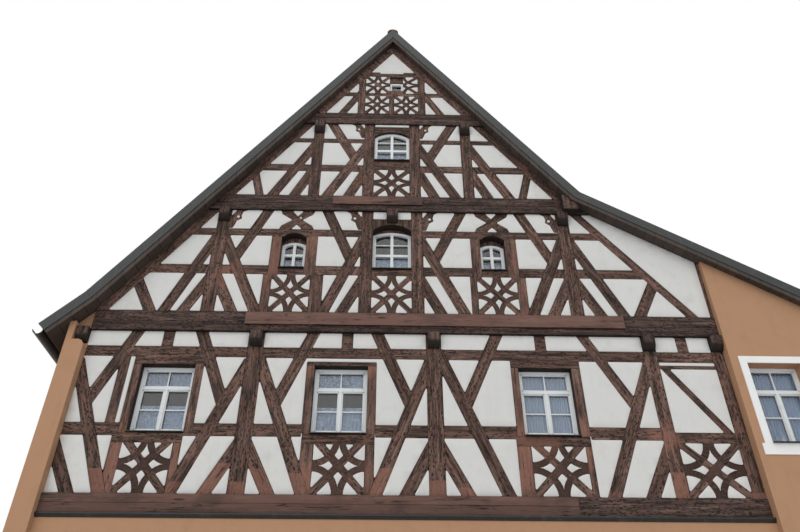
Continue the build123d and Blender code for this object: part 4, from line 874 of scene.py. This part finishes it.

# the thread colour: white thread painted dim blue-grey, for the shade of the rooms and the sky's reflection
# in the glass
lace_web, given, out = effect(
    "lace_web", {"ShadedThread": (0.22, 0.29, 0.42, 1), "Open": 0.5, "Motif": 16.0},
    {"Color": "Color", "Alpha": "Float", "Roughness": "Float", "Height": "Float"},
)
place = put(lace_web, "TexCoord").outputs["Object"]
flat_place = stretched(lace_web, place, 1, 0, 1)
flowers = {"Vector": flat_place, "Scale": given["Motif"]}
flowers = put(lace_web, "TexVoronoi", flowers, feature="SMOOTH_F1").outputs["Distance"]
petals = calc(lace_web, "SINE", times(lace_web, flowers, 26.0))
mesh_x = put(lace_web, "TexWave", {"Vector": flat_place, "Scale": 90.0}, bands_direction="X").outputs["Fac"]
mesh_z = put(lace_web, "TexWave", {"Vector": flat_place, "Scale": 90.0}, bands_direction="Z").outputs["Fac"]
net = calc(lace_web, "MAXIMUM", between(lace_web, mesh_x, 0.5, 0.8), between(lace_web, mesh_z, 0.5, 0.8))
solid = calc(lace_web, "MAXIMUM", between(lace_web, petals, -0.1, 0.5), times(lace_web, net, 0.55))
holes = times(lace_web, calc(lace_web, "SUBTRACT", 1.0, solid), given["Open"])
cover = calc(lace_web, "SUBTRACT", 1.0, holes)
lace_web.links.new(given["ShadedThread"], out["Color"])
lace_web.links.new(cover, out["Alpha"])
lace_web.links.new(plus(lace_web, times(lace_web, net, 0.1), 0.8), out["Roughness"])
lace_web.links.new(solid, out["Height"])


def lace_of(name, openness, motif):
    """A see-through cloth of the web, with this much hole and this size of flower."""
    material = made_of(name, lace_web, {"Open": openness, "Motif": motif}, 0.2, 0.001)
    shader = material.node_tree.nodes["Principled BSDF"]
    group = [n for n in material.node_tree.nodes if n.type == "GROUP"][0]
    material.node_tree.links.new(group.outputs["Alpha"], shader.inputs["Alpha"])
    return material


lace = lace_of("lace", 0.75, 17.0)
voile = lace_of("voile", 0.45, 60.0)


def curtain(name, cloth, across, up, y, pleats, depth, scallops=0):
    """One curtain in even pleats, its hem scalloped if asked."""
    (x0, x1), (z0, z1) = across, up
    columns = max(24, pleats * 10)
    verts, faces = [], []
    hem = SCALLOP if scallops else 0.0
    for j in range(CURTAIN_ROWS + 1):
        for i in range(columns + 1):
            u = i / columns
            v = j / CURTAIN_ROWS
            drop = hem * abs(math.sin(math.pi * scallops * u))
            z = z1 + (z0 - z1 - drop) * v
            swell = math.sin(2 * math.pi * pleats * u + 0.6 * math.sin(7 * u))
            verts.append((x0 + (x1 - x0) * u, y + depth * (0.6 + 0.4 * v) * swell, z))
    for j in range(CURTAIN_ROWS):
        for i in range(columns):
            a = j * (columns + 1) + i
            faces.append((a, a + 1, a + columns + 2, a + columns + 1))
    mesh = bpy.data.meshes.new(name)
    mesh.from_pydata(verts, [], faces)
    mesh.shade_smooth()
    piece = dressed(placed(name, mesh), "window_white", cloth)


for number, (low, high) in enumerate(boxes_of("frames_1")):
    y = high.y + LACE_BEHIND
    x_mid = (low.x + high.x) / 2
    left, right = low.x + CURTAIN_IN, high.x - CURTAIN_IN
    foot, top = low.z + CURTAIN_FOOT, high.z - CURTAIN_IN
    valance_foot = high.z - TRANSOM_SHARE * (high.z - low.z) + CURTAIN_IN
    cafe_top = low.z + CAFE_TOP
    if number < 2:
        for side, across in enumerate(((left, x_mid - CURTAIN_PART), (x_mid + CURTAIN_PART, right))):
            valance = f"valance_{number}_{side}"
            curtain(valance, lace, across, (valance_foot, top), y, 5, 0.004, 5)
            cafe = f"cafe_curtain_{number}_{side}"
            curtain(cafe, lace, across, (foot, cafe_top), y, 6, 0.005)
    else:
        curtain(f"sheer_{number}", voile, (left, right), (foot, top), y, 17, 0.012)
for number, (low, high) in enumerate(boxes_of("frames_stucco")):
    across = (low.x + CURTAIN_IN, high.x - CURTAIN_IN)
    up = (low.z + CURTAIN_FOOT, high.z - CURTAIN_IN)
    curtain(f"sheer_render_{number}", voile, across, up, high.y + LACE_BEHIND, 15, 0.014)
for number, (low, high) in enumerate(boxes_of("frames_g")):
    across = (low.x + GABLE_LACE_IN, high.x - GABLE_LACE_IN)
    up = (low.z + CURTAIN_FOOT, low.z + GABLE_LACE_SHARE * (high.z - low.z))
    curtain(f"gable_lace_{number}", lace, across, up, high.y + LACE_BEHIND, 7, 0.005)

# The street door: a framed oak door in a pegged frame, oiled, with an iron handle. The photograph
# does not show it, so it is a plain one of the same age.
DOOR_EDGE = 0.04
DOOR_STILE = 0.16
DOOR_FOOT_RAIL = 0.20
DOOR_LOCK_RAIL = 1.0
DOOR_RAIL_T = 0.018

door_wood = made_of(
    "door_wood", boards, {"Wood": (0.22, 0.12, 0.065, 1), "Width": 0.134, "Gloss": 0.4}, 0.6, 0.005,
)
for name in ("door_frame", "door_leaf"):
    finished(name, door_wood)
    softened(name, 0.005)


def fitted(name, part, slot, material):
    """A finished bmesh as one piece of the house."""
    heap = new_heap()
    gather(heap, part, lambda co: UP, 0.5)
    dressed(build(name, heap), slot, material)


low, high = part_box("door_leaf")
left, right = low[0] + DOOR_EDGE, high[0] - DOOR_EDGE
foot, top = low[2] + DOOR_EDGE, high[2] - DOOR_EDGE
lock = low[2] + DOOR_LOCK_RAIL
proud, face = low[1] - DOOR_RAIL_T, low[1]
part = bmesh.new()
for z0, z1 in ((foot, foot + DOOR_FOOT_RAIL), (lock, lock + DOOR_STILE), (top - DOOR_STILE, top)):
    block(part, (left, proud, z0), (right, face, z1), 0.006)
for x0, x1 in ((left, left + DOOR_STILE), (right - DOOR_STILE, right)):
    block(part, (x0, proud, foot + DOOR_FOOT_RAIL), (x1, face, top - DOOR_STILE), 0.006)
fitted("door_ledges", part, "door", door_wood)

# the handle: lock plate, lever and spindle, placed from the leaf's far edge, its face and its foot
HANDLE = (
    ((0.15, 0.105), (0.024, 0.018), (0.98, 1.2), 0.002),
    ((0.235, 0.115), (0.07, 0.055), (1.09, 1.108), 0.005),
    ((0.137, 0.119), (0.07, 0.018), (1.089, 1.107), 0.005),
)
part = bmesh.new()
for (x0, x1), (y0, y1), (z0, z1), edge in HANDLE:
    block(part, (high[0] - x0, face - y0, low[2] + z0), (high[0] - x1, face - y1, low[2] + z1), edge)
fitted("door_handle", part, "dark_metal", dark_sheet)

# The roof deck: boards nailed over the rafters, stained nearly black. Their underside shows past
# the gable as a soffit, behind the boards of the verge.
soffit = made_of(
    "soffit_boards", boards,
    {"Wood": (0.050, 0.034, 0.026, 1), "Seam": (0.008, 0.006, 0.005, 1), "Width": 0.15, "Gloss": 0.65},
    0.7, 0.006,
)
for name in ("roof_left", "roof_right", "verge_boards"):
    finished(name, soffit)

# The roof covering: flat clay tiles with rounded tails, hung in rows on battens so that each row
# laps the one below and the joints are staggered, fired red with brown and sooty ones among them.
TILE_W = 0.176
TILE_L = 0.30
TILE_GAUGE = 0.165
TILE_T = 0.014
TILE_TILT = 0.032
TILE_SINK = 0.004
TILE_JOINT = 0.002
TILE_SLIP = 0.003
TAIL_R = 0.05
TAIL_STEPS = 5

clay, given, out = effect(
    "fired_clay",
    {"Red": (0.4, 0.15, 0.08, 1), "Brown": (0.2, 0.09, 0.06, 1), "Soot": (0.07, 0.06, 0.055, 1)},
    SURFACE,
)
place = put(clay, "TexCoord").outputs["Object"]
tone = put(clay, "Attribute", attribute_name="tone").outputs["Fac"]
specks = cloud(clay, place, 40.0, 4.0, 0.6)
lichen = cloud(clay, place, 1.4, 6.0, 0.65)
fired = mixed(clay, between(clay, tone, 0.15, 0.9), given["Red"], given["Brown"])
fired = mixed(clay, times(clay, between(clay, specks, 0.5, 0.75), 0.35), fired, given["Soot"])
fired = mixed(clay, times(clay, between(clay, lichen, 0.5, 0.72), 0.55), fired, given["Soot"])
clay.links.new(fired, out["Color"])
clay.links.new(plus(clay, times(clay, specks, 0.2), 0.68), out["Roughness"])
clay.links.new(plus(clay, specks, lichen), out["Height"])
roof_clay = made_of(
    "roof_clay", clay, {"Red": (0.36, 0.135, 0.07, 1), "Brown": (0.20, 0.085, 0.055, 1)}, 0.5, 0.004,
)


def tile_outline():
    """A tile's outline from its head round its tail and back, as places across and up."""
    half = TILE_W / 2 - TILE_JOINT
    points = [(-half, TILE_L), (-half, TAIL_R)]
    for i in range(1, TAIL_STEPS):
        a = math.pi * i / TAIL_STEPS
        points.append((-half * math.cos(a), TAIL_R - TAIL_R * math.sin(a)))
    points += [(half, TAIL_R), (half, TILE_L)]
    return points


def tiled(node, name):
    """Rows of single tiles over each slab of the node, every other row set over by half a tile."""
    heap = new_heap()
    outline = tile_outline()
    for part in solids_of(node):
        top = max(part.faces, key=lambda f: f.normal.z * f.calc_area())
        normal = top.normal.copy()
        up_slope = (UP - normal * normal.z).normalized()
        reach = [v.co.dot(up_slope) for v in top.verts]
        y0 = min(v.co.y for v in top.verts)
        y1 = max(v.co.y for v in top.verts)
        foot = min(top.verts, key=lambda v: v.co.z).co
        length = max(reach) - min(reach)
        columns = int((y1 - y0) / TILE_W)
        width = (y1 - y0) / columns
        rows = int(length / TILE_GAUGE)
        gauge = length / rows
        part.free()
        for r in range(rows):
            for c in range(columns + (r % 2)):
                y = y0 + width * (c + (0.5 if r % 2 == 0 else 0.0))
                tone = random.random()
                slip = max(0.0, random.uniform(-TILE_SLIP, TILE_SLIP))
                random.random()  # not used, but the tones of the tiles depend on the count of draws
                base = len(heap["verts"])
                for depth in (0.0, TILE_T):
                    for across, up in outline:
                        v = min(up, length - r * gauge) + slip
                        sink = TILE_SINK + TILE_TILT * up / TILE_L + depth
                        co = foot + up_slope * (r * gauge + v) - normal * sink
                        co.y = min(max(y + across, y0 + TILE_JOINT), y1 - TILE_JOINT)
                        heap["verts"].append(co)
                        heap["grain"].extend((0, 0, 1))
                        heap["tone"].append(tone)
                count = len(outline)
                heap["faces"].append([base + i for i in range(count)])
                for i in range(count - 1):
                    heap["faces"].append([base + i + 1, base + i, base + count + i, base + count + i + 1])
    dressed(build(name, heap, 30), "tile", roof_clay, node)


tiled("tiles_left", "clay_tiles_left")
tiled("tiles_right", "clay_tiles_right")

# The ridge: half-round clay tiles bedded in mortar over the top course, end to end, each a little
# narrower at its far end.
RIDGE_TILE_L = 0.38
RIDGE_TILE_R = 0.115
RIDGE_TILE_T = 0.014
RIDGE_COVER = 0.97
RIDGE_TAPER = 0.9
RIDGE_SIDES = 8
heap = new_heap()
low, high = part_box("ridge_cap")
ridge_x = (low[0] + high[0]) / 2
count = int((high[1] - low[1]) / RIDGE_TILE_L)
spacing = (high[1] - low[1]) / count
ring = RIDGE_SIDES + 1
for i in range(count):
    tone = random.random()
    base = len(heap["verts"])
    for y, r in ((0.0, RIDGE_TILE_R), (spacing * RIDGE_COVER, RIDGE_TILE_R * RIDGE_TAPER)):
        for thick in (0.0, RIDGE_TILE_T):
            for j in range(ring):
                a = math.pi * j / RIDGE_SIDES
                x = ridge_x - (r - thick) * math.cos(a)
                z = high[2] - RIDGE_TILE_R + (r - thick) * math.sin(a)
                heap["verts"].append(Vector((x, low[1] + i * spacing + y, z)))
                heap["grain"].extend((0, 1, 0))
                heap["tone"].append(tone)
    for j in range(base, base + RIDGE_SIDES):
        a, b, c, d = (j, j + ring, j + 2 * ring, j + 3 * ring)
        heap["faces"].append([a, a + 1, c + 1, c])
        heap["faces"].append([b + 1, b, d, d + 1])
        heap["faces"].append([a + 1, a, b, b + 1])
        heap["faces"].append([c, c + 1, d + 1, d])
dressed(build("ridge_tiles", heap, 50), "tile", roof_clay, "ridge_cap")

# The verge: a bargeboard capped by folded sheet metal, weathered dark grey-green, in lengths that
# are nailed over the ends of the roof boards.
grey_sheet = made_of(
    "grey_sheet", paint,
    {"Tint": (0.028, 0.032, 0.032, 1), "Soil": (0.066, 0.070, 0.066, 1), "Wear": 0.6},
    0.3, 0.004, Metallic=0.35,
)
finished("verge_flashing", grey_sheet)
softened("verge_flashing", 0.004, 1)
softened("verge_boards", 0.003, 1)

# The studio: a pale floor, soft daylight from an even sky and one broad lamp, and the camera
# on the street below the gable, looking up.
floor_mesh = bpy.data.meshes.new("studio_floor")
floor_mesh.from_pydata([(-60, -60, 0), (60, -60, 0), (60, 70, 0), (-60, 70, 0)], [], [(0, 1, 2, 3)])
studio_floor = placed("studio_floor", floor_mesh)
pale = bpy.data.materials.new("pale_floor")
pale.use_nodes = True
tree = pale.node_tree
place = put(tree, "TexCoord").outputs["Object"]
speck = mixed(tree, cloud(tree, place, 0.6, 3.0), (0.80, 0.80, 0.79, 1), (0.84, 0.84, 0.83, 1))
shader = tree.nodes["Principled BSDF"]
tree.links.new(speck, shader.inputs["Base Color"])
shader.inputs["Roughness"].default_value = 0.9
floor_mesh.materials.append(pale)

world = bpy.data.worlds.new("even_sky")
bpy.context.scene.world = world
world.use_nodes = True
tree = world.node_tree
tree.nodes.clear()
rays = put(tree, "LightPath").outputs
seen = calc(tree, "MAXIMUM", rays["Is Glossy Ray"], rays["Is Transmission Ray"])
seen = calc(tree, "MAXIMUM", rays["Is Camera Ray"], seen)
daylight = put(tree, "Background", {"Color": (0.93, 0.97, 1.0, 1), "Strength": 0.72})
backdrop = put(tree, "Background", {"Color": (1, 1, 1, 1), "Strength": 1.0})
either = put(tree, "MixShader", {0: seen, 1: daylight.outputs[0], 2: backdrop.outputs[0]})
surface = put(tree, "OutputWorld")
tree.links.new(either.outputs[0], surface.inputs["Surface"])

sun = bpy.data.lights.new("broad_lamp", "SUN")
sun.energy = 1.1
sun.angle = math.radians(85)
sun.color = (1.0, 0.97, 0.93)
lamp = placed("broad_lamp", sun)
lamp.rotation_euler = Vector((0.35, 1.0, -0.75)).to_track_quat("-Z", "Y").to_euler()

PITCH = math.radians(36.68)
YAW = math.radians(1.21)
ROLL = math.radians(0.10)
EYE = Vector((0, -9.6, 0.70))
ahead = Vector((math.sin(YAW) * math.cos(PITCH), math.cos(YAW) * math.cos(PITCH), math.sin(PITCH)))
level = Vector((math.cos(YAW), -math.sin(YAW), 0))
above = level.cross(ahead)
right = level * math.cos(ROLL) + above * math.sin(ROLL)
above = above * math.cos(ROLL) - level * math.sin(ROLL)
camera = bpy.data.cameras.new("street_camera")
camera.lens = 32.4
camera.sensor_width = 36.0
camera.clip_end = 200.0
viewer = placed("street_camera", camera)
turn = Matrix((right, above, -ahead)).transposed().to_4x4()
turn.translation = EYE
viewer.matrix_world = turn
bpy.context.scene.camera = viewer

bpy.context.scene.view_settings.view_transform = "Standard"
